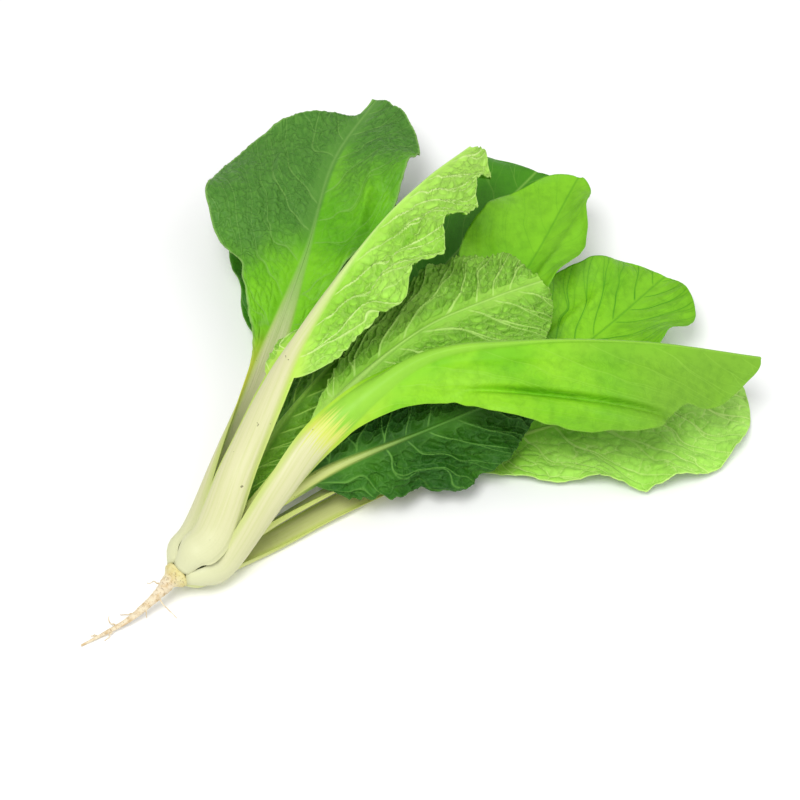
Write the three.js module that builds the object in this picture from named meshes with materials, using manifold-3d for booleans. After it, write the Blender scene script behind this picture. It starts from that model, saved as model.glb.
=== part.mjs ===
// A young loose-leaf bok choy, lying on its side as picked, with its crown and taproot.
// Units are millimetres. The head lies along +X from the crown, +Z is up, and the leaves fan out.
// The group is shifted at the end so that the middle of its box stands on the origin, lowest face at z = 0.

import * as THREE from "three";
import Module from "manifold-3d";

// Where the leaf bases sit round the crown: radius of the ring, and how far along the head it is reached
const CROWN_HEIGHT = 15.5;
const OUTER_RING = { radii: [5.2, 11.0, 13.0], reach: [-1.0, 6.0, 18.0] };
const TOP_RING = { radii: [5.6, 13.0, 15.8], reach: [-1.0, 6.0, 18.0] };
const INNER_RING = { radii: [3.1, 5.2, 7.5], reach: [0.0, 8.0, 20.0] };

// Stalks and blades
const BLADE_THICKNESS = 0.9;
const STALK_EDGE = 1.0;
const RIB_TIP = { half: 0.8, thickness: 1.2 };
const RIB_CLEARANCE = 0.8;
const BLADE_START_WIDTH = 1.2;
const OUTER_SHARE = 0.75;
const STALK_ROUNDNESS = 0.7;
const UNWRAPPED = 0.75;
const RUFFLE = { power: 2.2, narrow: 0.5 };

// Where along a leaf each change begins and ends, as shares of its length
const ALONG = {
  foot: [-0.01, 0.06],
  flare: [0.3, 0.05],
  ribWidth: [0.72, 0.26],
  ribThickness: [0.9, 0.2],
  thickFoot: [-0.03, 0.07],
  roll: [0.03, 0.55],
  wrap: [-0.01, 0.065],
  unwrap: [0.02, 0.45],
  opening: 0.2,
  ruffle: [0.05, 0.35],
  ribEnd: 0.893,
  slotEnd: 0.9,
};

// How finely the solids are divided, with more rows where a leaf curves most
const BLADE_ROWS = { first: 0.02, last: 0.995, packing: 1.35 };
const BLADE_COLUMNS = 3;
const BLADE_SPREAD = 0.9;
const STALK_COLUMNS = 4;
const STALK_PACKING = 1.25;
const CHORD = 0.012;
const ARC_SAMPLES = 400;

// Crown and taproot
const STUB = { end: 11.3, radius: 1.1 };
const CROWN_PROFILE = [
  [STUB.end, 0.45],
  [STUB.end - 0.4, STUB.radius],
  [-0.6, 1.3],
  [-0.7, 4.2],
  [-2.2, 4.4],
  [-2.4, 6.2],
  [-3.2, 6.0],
  [-4.8, 4.5],
  [-6.1, 3.4],
];
const ROOT_PATH = [
  [-6.2, 0.1, CROWN_HEIGHT - 0.1],
  [-12, 0.5, 12],
  [-19, 1.9, 8.4],
  [-25, 3.2, 5.8],
  [-31, 5, 3.8],
  [-39, 8, 2.0],
  [-50, 11.5, 1.0],
];
const ROOT_RADII = [3.4, 2.3, 1.7, 1.3, 1.0, 0.7, 0.45];
const ROOT_STEPS = 22;
const ROOT_SIDES = 12;
const ROOT_LUMPS = 0.07;
const ROOTLETS = {
  count: 9,
  sides: 5,
  steps: 6,
  span: [0.03, 0.88],
  scatter: 0.7,
  base: 0.46,
  tip: 0.32,
  length: [3, 12],
  shorter: 0.2,
  lean: [0.5, 1.3],
  wander: [-1.3, 0.9],
  droop: 0.7,
  clearance: 0.1,
};

const COLOURS = {
  stalk: 0xe3e0b6,
  blade: 0x6fae35,
  dark: 0x4c8a3c,
  root: 0xe0c9a0,
};

// One entry a leaf. angle is where its base sits on its ring, 0 on top and positive to the left.
// path is the centre line beyond the base. turn is the roll about its own length at the base, the middle
// and the tip, in degrees: 0 shows the outer face upwards and 180 the inner face. stalk is its half width
// and thickness. wing is where the blade starts as a share of the length, its half widths to either side,
// and the two powers of its outline, which may be given again for the second side. fold tips each half
// from the midrib and curl bends it on towards its margin, in degrees. ruffle is the height of the
// margin's waves, their number and where they start on each side.
const OUTER = { ring: OUTER_RING, bend: [5, 13], ramp: 0.3, rows: 24, steps: 16 };
const INNER = { ring: INNER_RING, bend: [3, 7.5], ramp: 0.3, rows: 24, steps: 16, flare: 0 };
const HEART = { bend: [3, 4], ramp: 0.6, flare: 0 };
const LEAVES = {
  floor_right: {
    ...OUTER, angle: -157.5, turn: [-157.5, -178, -178], stalk: [6.2, 4.5], flare: 0.05,
    path: [[45, -12, 2.2], [85, -22, 3], [135, -40, 3], [200, -71, 1.2], [264, -112, 1.2]],
    wing: [0.48, 50, 27, 1.0, 0.5], fold: [4, 6], curl: [6, 6], ruffle: [4, 4.0, 0.1, 0.6],
  },
  floor_left: {
    ...OUTER, angle: 137, turn: [137, 178, 178], stalk: [6.3, 4.5], flare: 0.05,
    path: [[45, 14, 2.2], [85, 32, 3], [135, 64, 3], [187, 103, 1.2], [232, 145, 1.2]],
    wing: [0.42, 42, 42, 1.1, 0.5], fold: [5, 5], curl: [10, 10], ruffle: [4, 4.2, 0.4, 0.1],
  },
  back_right: {
    ...INNER, angle: -116, turn: [-116, -178, -178], stalk: [3.5, 3.0],
    path: [[50, -11, 14], [95, -22, 16], [150, -35, 18], [213, -49, 20], [282, -49, 16]],
    wing: [0.5, 33, 36, 1.1, 0.5], fold: [10, 5], curl: [20, 18], ruffle: [4, 3.6, 0.2, 0.7],
  },
  back_left: {
    ...INNER, angle: 107, turn: [107, 180, 180], stalk: [3.5, 3.0], tone: "dark",
    path: [[50, 10.5, 12.5], [95, 17, 14], [150, 23, 16], [217, 35, 19], [294, 45, 16]],
    wing: [0.5, 36, 36, 1.1, 0.5], fold: [10, 10], curl: [10, 15], ruffle: [4, 3.4, 0.3, 0.9],
  },
  back_middle: {
    ...INNER, angle: 175, turn: [175, 180, 195], stalk: [3.4, 3.0],
    path: [[50, 0, 10], [95, -3, 15], [150, -10, 26], [213, -9, 35], [287, 13, 39]],
    wing: [0.5, 19, 33, 1.1, 0.7], fold: [15, 15], curl: [10, 10], ruffle: [3.5, 3.3, 0.0, 0.4],
  },
  broad_left: {
    ...OUTER, angle: 70, turn: [70, 172, 185], stalk: [7.0, 4.5], flare: 0.1, tone: "dark",
    path: [[50, 26, 25], [94, 43, 32], [156, 76, 38], [211, 111, 38], [267, 134, 28]],
    wing: [0.32, 40, 54, 2.2, 0.85, 2.5, 2.1], fold: [8, 18], curl: [5, -30], ruffle: [6, 3.2, 0.55, 0.15],
  },
  heart_dark: {
    ...INNER, angle: 38, turn: [38, 10, 0], stalk: [3.4, 2.8], tone: "dark", rows: 22,
    path: [[45, 7, 33], [80, 13, 39], [115, 17, 43], [158, 20, 41]],
    wing: [0.25, 16, 21, 0.8, 0.5], fold: [20, 20], curl: [10, 10], ruffle: [2, 4, 0.5, 0.2],
  },
  dark_right: {
    ...HEART, turn: [-60, -35, -15], stalk: [2.6, 2.4], tone: "dark", rows: 20, steps: 14,
    path: [[12, -1.6, 17.5], [28, -4, 20], [48, -8, 22.5], [78, -18, 31], [125, -39, 36.5], [172, -54, 35]],
    wing: [0.35, 18, 28, 0.8, 0.5], fold: [15, 15], curl: [10, 10], ruffle: [3, 4, 0.5, 0.2],
  },
  heart_bud: {
    ...HEART, turn: [100, 100, 100], stalk: [2.0, 2.0], rows: 10, steps: 8,
    path: [[12, 1.5, 14.5], [32, 4, 18.5], [60, 8, 21], [85, 11, 23]],
    wing: [0.4, 7, 7, 0.9, 0.5], fold: [35, 35], curl: [10, 10], ruffle: [1, 3, 0.5, 0.2],
  },
  crinkled: {
    ...INNER, angle: -44, turn: [-44, -5, -5], stalk: [3.8, 3.0],
    path: [[45, -8, 33], [75, -6, 42], [108, -2, 49.5], [150, -6, 55], [186, -17, 55], [213, -25, 51]],
    wing: [0.38, 34, 30, 1.6, 0.5], fold: [8, 8], curl: [15, 15], ruffle: [3, 7, 0.55, 0.15],
  },
  folded_right: {
    ...OUTER, angle: -91, turn: [-91, 12, 8], stalk: [7.0, 4.5], flare: 0.2,
    path: [[48, -15, 41], [80, -15, 56], [128, -25, 70], [164, -53, 72], [209, -88, 61], [253, -124, 41]],
    wing: [0.33, 22, 39, 2.6, 1.0, 1.4, 0.8], fold: [62, 35], curl: [-10, 10], ruffle: [5, 3.0, 0.55, 0.15],
  },
  top_stalk: {
    ...OUTER, ring: TOP_RING, bend: [5, 14], angle: -12, turn: [-12, 35, 40], stalk: [7.2, 4.6], flare: 0.35,
    path: [[46, 5, 51], [102, 25, 65], [166, 39, 74], [208, 46, 72], [248, 52, 62]],
    wing: [0.37, 22, 36, 0.7, 0.65], fold: [45, 25], curl: [10, -15], ruffle: [4, 5.2, 0.55, 0.15],
  },
};

const clamp = THREE.MathUtils.clamp;
const radians = THREE.MathUtils.degToRad;
const mix = THREE.MathUtils.lerp;
const UP = new THREE.Vector3(0, 0, 1);

// 0 before a, 1 after b, and an S between them.
function smooth(a, b, x) {
  return THREE.MathUtils.smoothstep(x, a, b);
}

// 1 before a, 0 after b, given with the later place first.
function fade(b, a, x) {
  return 1 - smooth(a, b, x);
}

// Three points that carry a leaf's centre line out of the crown, at an angle round the head's axis.
function ringPoints(ring, angle) {
  const turn = radians(angle);
  return ring.radii.map(
    (r, i) => new THREE.Vector3(ring.reach[i], r * Math.sin(turn), CROWN_HEIGHT + r * Math.cos(turn)),
  );
}

class Leaf {
  constructor(shape) {
    Object.assign(this, shape);
    const start = this.ring ? ringPoints(this.ring, this.angle) : [];
    const points = [...start, ...this.path.map((p) => new THREE.Vector3(...p))];
    this.curve = new THREE.CatmullRomCurve3(points, false, "catmullrom", 0.5);
    this.curve.arcLengthDivisions = ARC_SAMPLES;
  }

  // The centre line's point, its direction, the way across the leaf and the normal of its outer face.
  frame(s) {
    const centre = this.curve.getPointAt(clamp(s, 0, 1));
    const ahead = this.curve.getPointAt(clamp(s + CHORD, 0, 1));
    const behind = this.curve.getPointAt(clamp(s - CHORD, 0, 1));
    const along = ahead.sub(behind).normalize();
    const level = new THREE.Vector3().crossVectors(UP, along).normalize();
    const rise = new THREE.Vector3().crossVectors(along, level);
    const [base, middle, tip] = this.turn.map(radians);
    const [first, second] = ALONG.roll;
    const roll = base + (middle - base) * smooth(first, second, s) + (tip - middle) * smooth(second, 1, s);
    const outer = rise.clone().multiplyScalar(Math.cos(roll)).addScaledVector(level, Math.sin(roll));
    const across = level.multiplyScalar(Math.cos(roll)).addScaledVector(rise, -Math.sin(roll));
    return { centre, across, outer };
  }

  ribHalf(s) {
    const foot = mix(this.ramp, 1, smooth(...ALONG.foot, s));
    const swell = 1 + this.flare * fade(...ALONG.flare, s);
    return RIB_TIP.half + (this.stalk[0] - RIB_TIP.half) * fade(...ALONG.ribWidth, s) * swell * foot;
  }

  ribThickness(s) {
    const full = this.stalk[1] - RIB_TIP.thickness;
    return RIB_TIP.thickness + full * fade(...ALONG.ribThickness, s) * smooth(...ALONG.thickFoot, s);
  }

  // Half width of the blade beyond the midrib: a rise and a fall, with its widest place at a / (a + b).
  wingHalf(s, side) {
    const [start, left, right, leftRise, leftFall, rightRise = leftRise, rightFall = leftFall] = this.wing;
    const [half, a, b] = side > 0 ? [left, leftRise, leftFall] : [right, rightRise, rightFall];
    const t = clamp((s - start) / (1 - start), 0, 1);
    const widest = a / (a + b);
    return half * (t / widest) ** a * ((1 - t) / (1 - widest)) ** b;
  }

  // Where the cross-section has got to, u millimetres from the midrib along the sheet, and its slope there.
  // The slope grows evenly with u, so the section is an arc.
  section(s, u) {
    const side = u >= 0 ? 0 : 1;
    const open = smooth(this.wing[0], this.wing[0] + ALONG.opening, s);
    const radius = mix(this.bend[0], this.bend[1], smooth(...ALONG.wrap, s));
    const fold = radians(this.fold[side]) * open;
    const curl = (radians(this.curl[side]) / this.wing[1 + side]) * open;
    const wrapped = (1 - UNWRAPPED * smooth(...ALONG.unwrap, s)) * (1 - open);
    const bend = wrapped / radius + curl || Number.EPSILON;
    const slope = fold + bend * Math.abs(u);
    const sign = u >= 0 ? 1 : -1;
    return {
      across: (sign * (Math.sin(slope) - Math.sin(fold))) / bend,
      down: (Math.cos(fold) - Math.cos(slope)) / bend,
      slope: sign * slope,
    };
  }

  // Height of the margin's waves, growing from nothing at the midrib.
  ruffleAt(s, u) {
    const [height, waves, left, right] = this.ruffle;
    const side = u >= 0 ? 1 : -1;
    const t = clamp((s - this.wing[0]) / (1 - this.wing[0]), 0, 1);
    const reach = clamp(Math.abs(u) / (this.ribHalf(s) + this.wingHalf(s, side)), 0, 1);
    const wave = Math.sin(2 * Math.PI * (waves * t + (side > 0 ? left : right)));
    const narrow = Math.min(1, this.wingHalf(s, 1) / (RUFFLE.narrow * this.wing[1]));
    return height * smooth(...ALONG.ruffle, t) * reach ** RUFFLE.power * wave * narrow;
  }

  // A point on the leaf, offset along its own outer normal.
  point(s, u, offset) {
    const { centre, across, outer } = this.frame(s);
    const section = this.section(s, u);
    return centre
      .addScaledVector(across, section.across + offset * Math.sin(section.slope))
      .addScaledVector(outer, -section.down + offset * Math.cos(section.slope));
  }
}

// Keeps a pair of points on a sheet's two faces above the surface, and the upper one clear of the lower.
function restOnSurface(outside, inside) {
  const [low, high] = outside.z < inside.z ? [outside, inside] : [inside, outside];
  if (low.z < 0) {
    low.z = 0;
    high.z = Math.max(high.z, BLADE_THICKNESS);
  }
}

// Makes a closed solid from two grids of points that face each other. Cells that keep refuses are holes.
// Both faces are split along the same diagonals, so that a thin waved sheet never cuts itself.
function sheetSolid(outside, inside, keep) {
  const rows = outside.length;
  const columns = outside[0].length;
  const used = new Map();
  const positions = [];
  const indices = [];
  const rim = new Map();
  const corner = (r, c) => {
    const key = r * columns + c;
    if (!used.has(key)) {
      used.set(key, used.size);
      positions.push(...outside[r][c].toArray(), ...inside[r][c].toArray());
    }
    return used.get(key) * 2;
  };
  for (let r = 0; r < rows - 1; r++) {
    for (let c = 0; c < columns - 1; c++) {
      if (!keep(r, c)) continue;
      const ring = [corner(r, c), corner(r + 1, c), corner(r + 1, c + 1), corner(r, c + 1)];
      const first = (r + c) % 2 === 0 ? [0, 1, 2] : [0, 1, 3];
      const second = (r + c) % 2 === 0 ? [0, 2, 3] : [1, 2, 3];
      for (const face of [first, second]) {
        const [i, j, k] = face.map((n) => ring[n]);
        indices.push(i, j, k, k + 1, j + 1, i + 1);
      }
      ring.forEach((from, n) => {
        const to = ring[(n + 1) % 4];
        if (!rim.delete(`${to}_${from}`)) rim.set(`${from}_${to}`, [from, to]);
      });
    }
  }
  for (const [from, to] of rim.values()) {
    indices.push(to, from, from + 1, to, from + 1, to + 1);
  }
  return indexedGeometry(positions, indices);
}

function indexedGeometry(positions, indices) {
  const geometry = new THREE.BufferGeometry();
  geometry.setAttribute("position", new THREE.Float32BufferAttribute(positions, 3));
  geometry.setIndex(indices);
  return geometry;
}

// The green sheet: two wings with the midrib's slot between them, joined at the tip.
function bladeGeometry(leaf) {
  const start = leaf.wing[0];
  const stations = [];
  for (let i = 0; i <= leaf.rows; i++) {
    const packed = 1 - (1 - i / leaf.rows) ** BLADE_ROWS.packing;
    stations.push(mix(start, 1, mix(BLADE_ROWS.first, BLADE_ROWS.last, packed)));
  }
  const outside = [];
  const inside = [];
  for (const s of stations) {
    const rib = leaf.ribHalf(s) + RIB_CLEARANCE;
    const inner = s < ALONG.slotEnd ? rib : RIB_TIP.half;
    const across = [];
    for (const side of [1, -1]) {
      const edge = rib + BLADE_START_WIDTH + leaf.wingHalf(s, side);
      for (let c = 0; c <= BLADE_COLUMNS; c++) {
        across.push(side * mix(inner, edge, (c / BLADE_COLUMNS) ** BLADE_SPREAD));
      }
    }
    across.sort((a, b) => a - b);
    const half = BLADE_THICKNESS / 2;
    outside.push(across.map((u) => leaf.point(s, u, half + leaf.ruffleAt(s, u))));
    inside.push(across.map((u) => leaf.point(s, u, -half + leaf.ruffleAt(s, u))));
    outside.at(-1).forEach((p, n) => restOnSurface(p, inside.at(-1)[n]));
  }
  return sheetSolid(outside, inside, (r, c) => c !== BLADE_COLUMNS || stations[r] >= ALONG.slotEnd);
}

// The pale stalk and midrib: a long lens in section, most of its thickness on the outer side.
function stalkGeometry(leaf) {
  const outside = [];
  const inside = [];
  for (let i = 0; i <= leaf.steps; i++) {
    const s = ALONG.ribEnd * (i / leaf.steps) ** STALK_PACKING;
    const swell = leaf.ribThickness(s) - STALK_EDGE;
    outside.push([]);
    inside.push([]);
    for (let c = 0; c <= STALK_COLUMNS; c++) {
      const f = (2 * c) / STALK_COLUMNS - 1;
      const bulge = (1 - f * f) ** STALK_ROUNDNESS;
      const u = f * leaf.ribHalf(s);
      outside[i].push(leaf.point(s, u, STALK_EDGE / 2 + swell * OUTER_SHARE * bulge));
      inside[i].push(leaf.point(s, u, -STALK_EDGE / 2 - swell * (1 - OUTER_SHARE) * bulge));
      restOnSurface(outside[i][c], inside[i][c]);
    }
  }
  return sheetSolid(outside, inside, () => true);
}

// A closed tube through a list of rings, each with a centre, a direction and a radius at each angle.
function tubeGeometry(rings, sides) {
  const positions = [];
  const indices = [];
  for (const { centre, along, radius } of rings) {
    const level = new THREE.Vector3().crossVectors(UP, along).normalize();
    const rise = new THREE.Vector3().crossVectors(along, level);
    for (let i = 0; i < sides; i++) {
      const angle = (2 * Math.PI * i) / sides;
      const p = centre.clone().addScaledVector(level, Math.cos(angle) * radius(angle));
      positions.push(...p.addScaledVector(rise, Math.sin(angle) * radius(angle)).toArray());
    }
  }
  for (let r = 0; r < rings.length - 1; r++) {
    for (let i = 0; i < sides; i++) {
      const a = r * sides + i;
      const b = r * sides + ((i + 1) % sides);
      indices.push(a, b, b + sides, a, b + sides, a + sides);
    }
  }
  const last = (rings.length - 1) * sides;
  for (let i = 1; i < sides - 1; i++) {
    indices.push(0, i + 1, i, last, last + i, last + i + 1);
  }
  return indexedGeometry(positions, indices);
}

// Rings for the crown's turned profile, then for the taproot that bends down to the surface.
function crownRings() {
  const back = new THREE.Vector3(-1, 0, 0);
  const rings = CROWN_PROFILE.map(([x, r]) => ({
    centre: new THREE.Vector3(x, 0, CROWN_HEIGHT),
    along: back,
    radius: () => r,
  }));
  const curve = rootCurve();
  for (let i = 1; i <= ROOT_STEPS; i++) {
    const t = i / ROOT_STEPS;
    const r = rootRadius(t);
    rings.push({
      centre: curve.getPointAt(t),
      along: curve.getTangentAt(t),
      radius: (angle) => r * (1 + ROOT_LUMPS * Math.sin(3 * angle + 17 * t) * (1 - t)),
    });
  }
  return rings;
}

function rootCurve() {
  const points = ROOT_PATH.map((p) => new THREE.Vector3(...p));
  return new THREE.CatmullRomCurve3(points, false, "catmullrom", 0.5);
}

function rootRadius(t) {
  const place = t * (ROOT_RADII.length - 1);
  const i = Math.min(Math.floor(place), ROOT_RADII.length - 2);
  return mix(ROOT_RADII[i], ROOT_RADII[i + 1], place - i);
}

// A fine root that leaves the taproot sideways, drops to the surface and wanders over it.
function rootletRings(random, index) {
  const { steps, base, tip } = ROOTLETS;
  const t = mix(...ROOTLETS.span, (index + ROOTLETS.scatter * random()) / ROOTLETS.count);
  const curve = rootCurve();
  const start = curve.getPointAt(t);
  const along = curve.getTangentAt(t);
  const side = index % 2 ? 1 : -1;
  const heading = Math.atan2(along.y, along.x) + side * mix(...ROOTLETS.lean, random());
  const reach = mix(...ROOTLETS.length, random()) * (1 - ROOTLETS.shorter * t);
  const wander = side * mix(...ROOTLETS.wander, random());
  const centres = [];
  for (let i = 0; i <= steps; i++) {
    const q = i / steps;
    const angle = heading + wander * q;
    const radius = mix(base, tip, q);
    const height = Math.max(radius + ROOTLETS.clearance, start.z - ROOTLETS.droop * reach * q * q);
    const centre = new THREE.Vector3(reach * q * Math.cos(angle), reach * q * Math.sin(angle), 0).add(start);
    centres.push(centre.setZ(height));
  }
  return centres.map((centre, i) => {
    const next = centres[Math.min(i + 1, steps)];
    const before = centres[Math.max(i - 1, 0)];
    const radius = mix(base, tip, i / steps);
    return { centre, along: next.clone().sub(before).normalize(), radius: () => radius };
  });
}

// Draws between 0 and 1 that repeat from run to run.
function seededDraws(seed) {
  let state = seed;
  return () => {
    state = (state * 16807) % 2147483647;
    return state / 2147483647;
  };
}

const wasm = await Module();
wasm.setup();

function toSolid(geometry) {
  const vertProperties = new Float32Array(geometry.getAttribute("position").array);
  const triVerts = new Uint32Array(geometry.getIndex().array);
  return new wasm.Manifold(new wasm.Mesh({ numProp: 3, vertProperties, triVerts }));
}

function crownGeometry() {
  const random = seededDraws(41);
  let solid = toSolid(tubeGeometry(crownRings(), ROOT_SIDES));
  for (let i = 0; i < ROOTLETS.count; i++) {
    solid = solid.add(toSolid(tubeGeometry(rootletRings(random, i), ROOTLETS.sides)));
  }
  const { vertProperties, triVerts } = solid.getMesh();
  return indexedGeometry(Array.from(vertProperties), Array.from(triVerts));
}

function piece(name, geometry, colour, roughness) {
  const material = new THREE.MeshStandardMaterial({ color: colour, roughness, metalness: 0 });
  const mesh = new THREE.Mesh(geometry, material);
  mesh.name = name;
  return mesh;
}

const head = new THREE.Group();
head.add(piece("crown_root", crownGeometry(), COLOURS.root, 0.8));
for (const [name, shape] of Object.entries(LEAVES)) {
  const leaf = new Leaf(shape);
  head.add(piece(`${name}_stalk`, stalkGeometry(leaf), COLOURS.stalk, 0.4));
  head.add(piece(`${name}_blade`, bladeGeometry(leaf), COLOURS[shape.tone ?? "blade"], 0.5));
}

const box = new THREE.Box3().setFromObject(head);
head.position.set(-(box.min.x + box.max.x) / 2, -(box.min.y + box.max.y) / 2, -box.min.z);

const bokChoy = new THREE.Group();
bokChoy.add(head);

export default bokChoy;
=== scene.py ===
# %% [markdown]
# # A young bok choy, pulled with its root
#
# The head lies on its side as picked: twelve leaves fan out from a small crown, and a taproot runs out
# behind it. The plain solids of the head come first, as a frame that nothing here moves. Each leaf is
# then made again as one fine sheet, stalk and blade together, that stands where its solids are. A leaf
# could be sculpted by hand, but then no two people would get the same one. Here every shape is a formula
# on whole arrays of numbers, which is quick and can be changed by changing a number.

import bpy
import numpy as np
from mathutils import Matrix, Vector


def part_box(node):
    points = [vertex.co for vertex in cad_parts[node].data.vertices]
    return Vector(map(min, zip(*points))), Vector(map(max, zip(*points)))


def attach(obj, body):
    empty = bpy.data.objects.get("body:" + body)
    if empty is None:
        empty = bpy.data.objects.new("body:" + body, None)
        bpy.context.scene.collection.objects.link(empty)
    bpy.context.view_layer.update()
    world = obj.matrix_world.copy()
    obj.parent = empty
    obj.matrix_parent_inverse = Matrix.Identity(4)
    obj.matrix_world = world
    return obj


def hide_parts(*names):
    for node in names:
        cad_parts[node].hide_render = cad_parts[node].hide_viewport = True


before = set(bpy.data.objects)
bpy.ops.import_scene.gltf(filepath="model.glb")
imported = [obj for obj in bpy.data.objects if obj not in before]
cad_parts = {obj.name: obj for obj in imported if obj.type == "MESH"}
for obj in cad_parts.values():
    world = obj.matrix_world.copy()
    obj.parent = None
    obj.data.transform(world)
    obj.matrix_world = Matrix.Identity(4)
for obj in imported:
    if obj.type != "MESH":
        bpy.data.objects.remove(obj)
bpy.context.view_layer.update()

# %% [markdown]
# ## The head's own measures
#
# A leaf is easiest to think about in millimetres, with the crown at the start of the X axis. So the
# shapes are worked out there, and one shift at the end brings them to the frame. Leaf bases sit on rings
# round the crown, as they do on a real head, where each new leaf starts inside the last. A ring is given
# by radii and by how far out they are.

# %% Measures
MM = 0.001
CROWN_HEIGHT = 15.5
OUTER_RING = ([5.2, 11.0, 13.0], [-1.0, 6.0, 18.0])
TOP_RING = ([5.6, 13.0, 15.8], [-1.0, 6.0, 18.0])
INNER_RING = ([3.1, 5.2, 7.5], [0.0, 8.0, 20.0])

BLADE_THICKNESS = 0.6
STALK_EDGE = 1.0
RIB_TIP_HALF = 0.8
RIB_TIP_THICKNESS = 1.2
RIB_TAPER = (0.26, 0.72)
OUTER_SHARE = 0.75

OUTER = dict(ring=OUTER_RING, bend=(5, 13), ramp=0.3)
INNER = dict(ring=INNER_RING, bend=(3, 7.5), ramp=0.3, flare=0)
HEART = dict(ring=None, bend=(3, 4), ramp=0.6, flare=0)
print("crown axis", CROWN_HEIGHT, "mm above the surface, blades", BLADE_THICKNESS, "mm thick")

# %% [markdown]
# ## The leaves, one by one
#
# Each leaf has a centre line, a roll about it, a stalk, a blade outline, and how its halves tip, curl
# and wave. angle is the place of its base on the ring, 0 on top. turn is the roll at base, middle and
# tip in degrees: 0 shows the outer face upwards and 180 the inner one. wing is where the blade starts,
# its two half widths, and the powers of its outline, which may be given again for the second side.
# ruffle is the margin's wave height, number of waves and phases.

# %% Leaf shapes
LEAVES = {
    "floor_right": dict(
        OUTER, angle=-157.5, turn=(-157.5, -178, -178), stalk=(6.2, 4.5), flare=0.05,
        path=[(45, -12, 2.2), (85, -22, 3), (135, -40, 3), (200, -71, 1.2), (264, -112, 1.2)],
        wing=(0.48, 50, 27, 1.0, 0.5), fold=(4, 6), curl=(6, 6), ruffle=(4, 4.0, 0.1, 0.6),
    ),
    "floor_left": dict(
        OUTER, angle=137, turn=(137, 178, 178), stalk=(6.3, 4.5), flare=0.05,
        path=[(45, 14, 2.2), (85, 32, 3), (135, 64, 3), (187, 103, 1.2), (232, 145, 1.2)],
        wing=(0.42, 42, 42, 1.1, 0.5), fold=(5, 5), curl=(10, 10), ruffle=(4, 4.2, 0.4, 0.1),
    ),
    "back_right": dict(
        INNER, angle=-116, turn=(-116, -178, -178), stalk=(3.5, 3.0),
        path=[(50, -11, 14), (95, -22, 16), (150, -35, 18), (213, -49, 20), (282, -49, 16)],
        wing=(0.5, 33, 36, 1.1, 0.5), fold=(10, 5), curl=(20, 18), ruffle=(4, 3.6, 0.2, 0.7),
    ),
    "back_left": dict(
        INNER, angle=107, turn=(107, 180, 180), stalk=(3.5, 3.0),
        path=[(50, 10.5, 12.5), (95, 17, 14), (150, 23, 16), (217, 35, 19), (294, 45, 16)],
        wing=(0.5, 36, 36, 1.1, 0.5), fold=(10, 10), curl=(10, 15), ruffle=(4, 3.4, 0.3, 0.9),
    ),
    "back_middle": dict(
        INNER, angle=175, turn=(175, 180, 195), stalk=(3.4, 3.0),
        path=[(50, 0, 10), (95, -3, 15), (150, -10, 26), (213, -9, 35), (287, 13, 39)],
        wing=(0.5, 19, 33, 1.1, 0.7), fold=(15, 15), curl=(10, 10), ruffle=(3.5, 3.3, 0.0, 0.4),
    ),
    "broad_left": dict(
        OUTER, angle=70, turn=(70, 172, 185), stalk=(7.0, 4.5), flare=0.1,
        path=[(50, 26, 25), (94, 43, 32), (156, 76, 38), (211, 111, 38), (267, 134, 28)],
        wing=(0.32, 40, 54, 2.2, 0.85, 2.5, 2.1), fold=(8, 18), curl=(5, -30), ruffle=(6, 3.2, 0.55, 0.15),
    ),
    "heart_dark": dict(
        INNER, angle=38, turn=(38, 10, 0), stalk=(3.4, 2.8),
        path=[(45, 7, 33), (80, 13, 39), (115, 17, 43), (158, 20, 41)],
        wing=(0.25, 16, 21, 0.8, 0.5), fold=(20, 20), curl=(10, 10), ruffle=(2, 4, 0.5, 0.2),
    ),
    "dark_right": dict(
        HEART, turn=(-60, -35, -15), stalk=(2.6, 2.4),
        path=[
            (12, -1.6, 17.5), (28, -4, 20), (48, -8, 22.5), (78, -18, 31), (125, -39, 36.5), (172, -54, 35),
        ],
        wing=(0.35, 18, 28, 0.8, 0.5), fold=(15, 15), curl=(10, 10), ruffle=(3, 4, 0.5, 0.2),
    ),
    "heart_bud": dict(
        HEART, turn=(100, 100, 100), stalk=(2.0, 2.0),
        path=[(12, 1.5, 14.5), (32, 4, 18.5), (60, 8, 21), (85, 11, 23)],
        wing=(0.4, 7, 7, 0.9, 0.5), fold=(35, 35), curl=(10, 10), ruffle=(1, 3, 0.5, 0.2),
    ),
    "crinkled": dict(
        INNER, angle=-44, turn=(-44, -5, -5), stalk=(3.8, 3.0),
        path=[(45, -8, 33), (75, -6, 42), (108, -2, 49.5), (150, -6, 55), (186, -17, 55), (213, -25, 51)],
        wing=(0.38, 34, 30, 1.6, 0.5), fold=(8, 8), curl=(15, 15), ruffle=(3, 7, 0.55, 0.15),
    ),
    "folded_right": dict(
        OUTER, angle=-91, turn=(-91, 12, 8), stalk=(7.0, 4.5), flare=0.2,
        path=[
            (48, -15, 41), (80, -15, 56), (128, -25, 70), (164, -53, 72), (209, -88, 61), (253, -124, 41),
        ],
        wing=(0.33, 22, 39, 2.6, 1.0, 1.4, 0.8), fold=(62, 35), curl=(-10, 10), ruffle=(5, 3.0, 0.55, 0.15),
    ),
    "top_stalk": dict(
        OUTER, ring=TOP_RING, bend=(5, 14), angle=-12, turn=(-12, 35, 40), stalk=(7.2, 4.6), flare=0.35,
        path=[(46, 5, 51), (102, 25, 65), (166, 39, 74), (208, 46, 72), (248, 52, 62)],
        wing=(0.37, 22, 36, 0.7, 0.65), fold=(45, 25), curl=(10, -15), ruffle=(4, 5.2, 0.55, 0.15),
    ),
}
print("leaves:", ", ".join(LEAVES))

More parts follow.
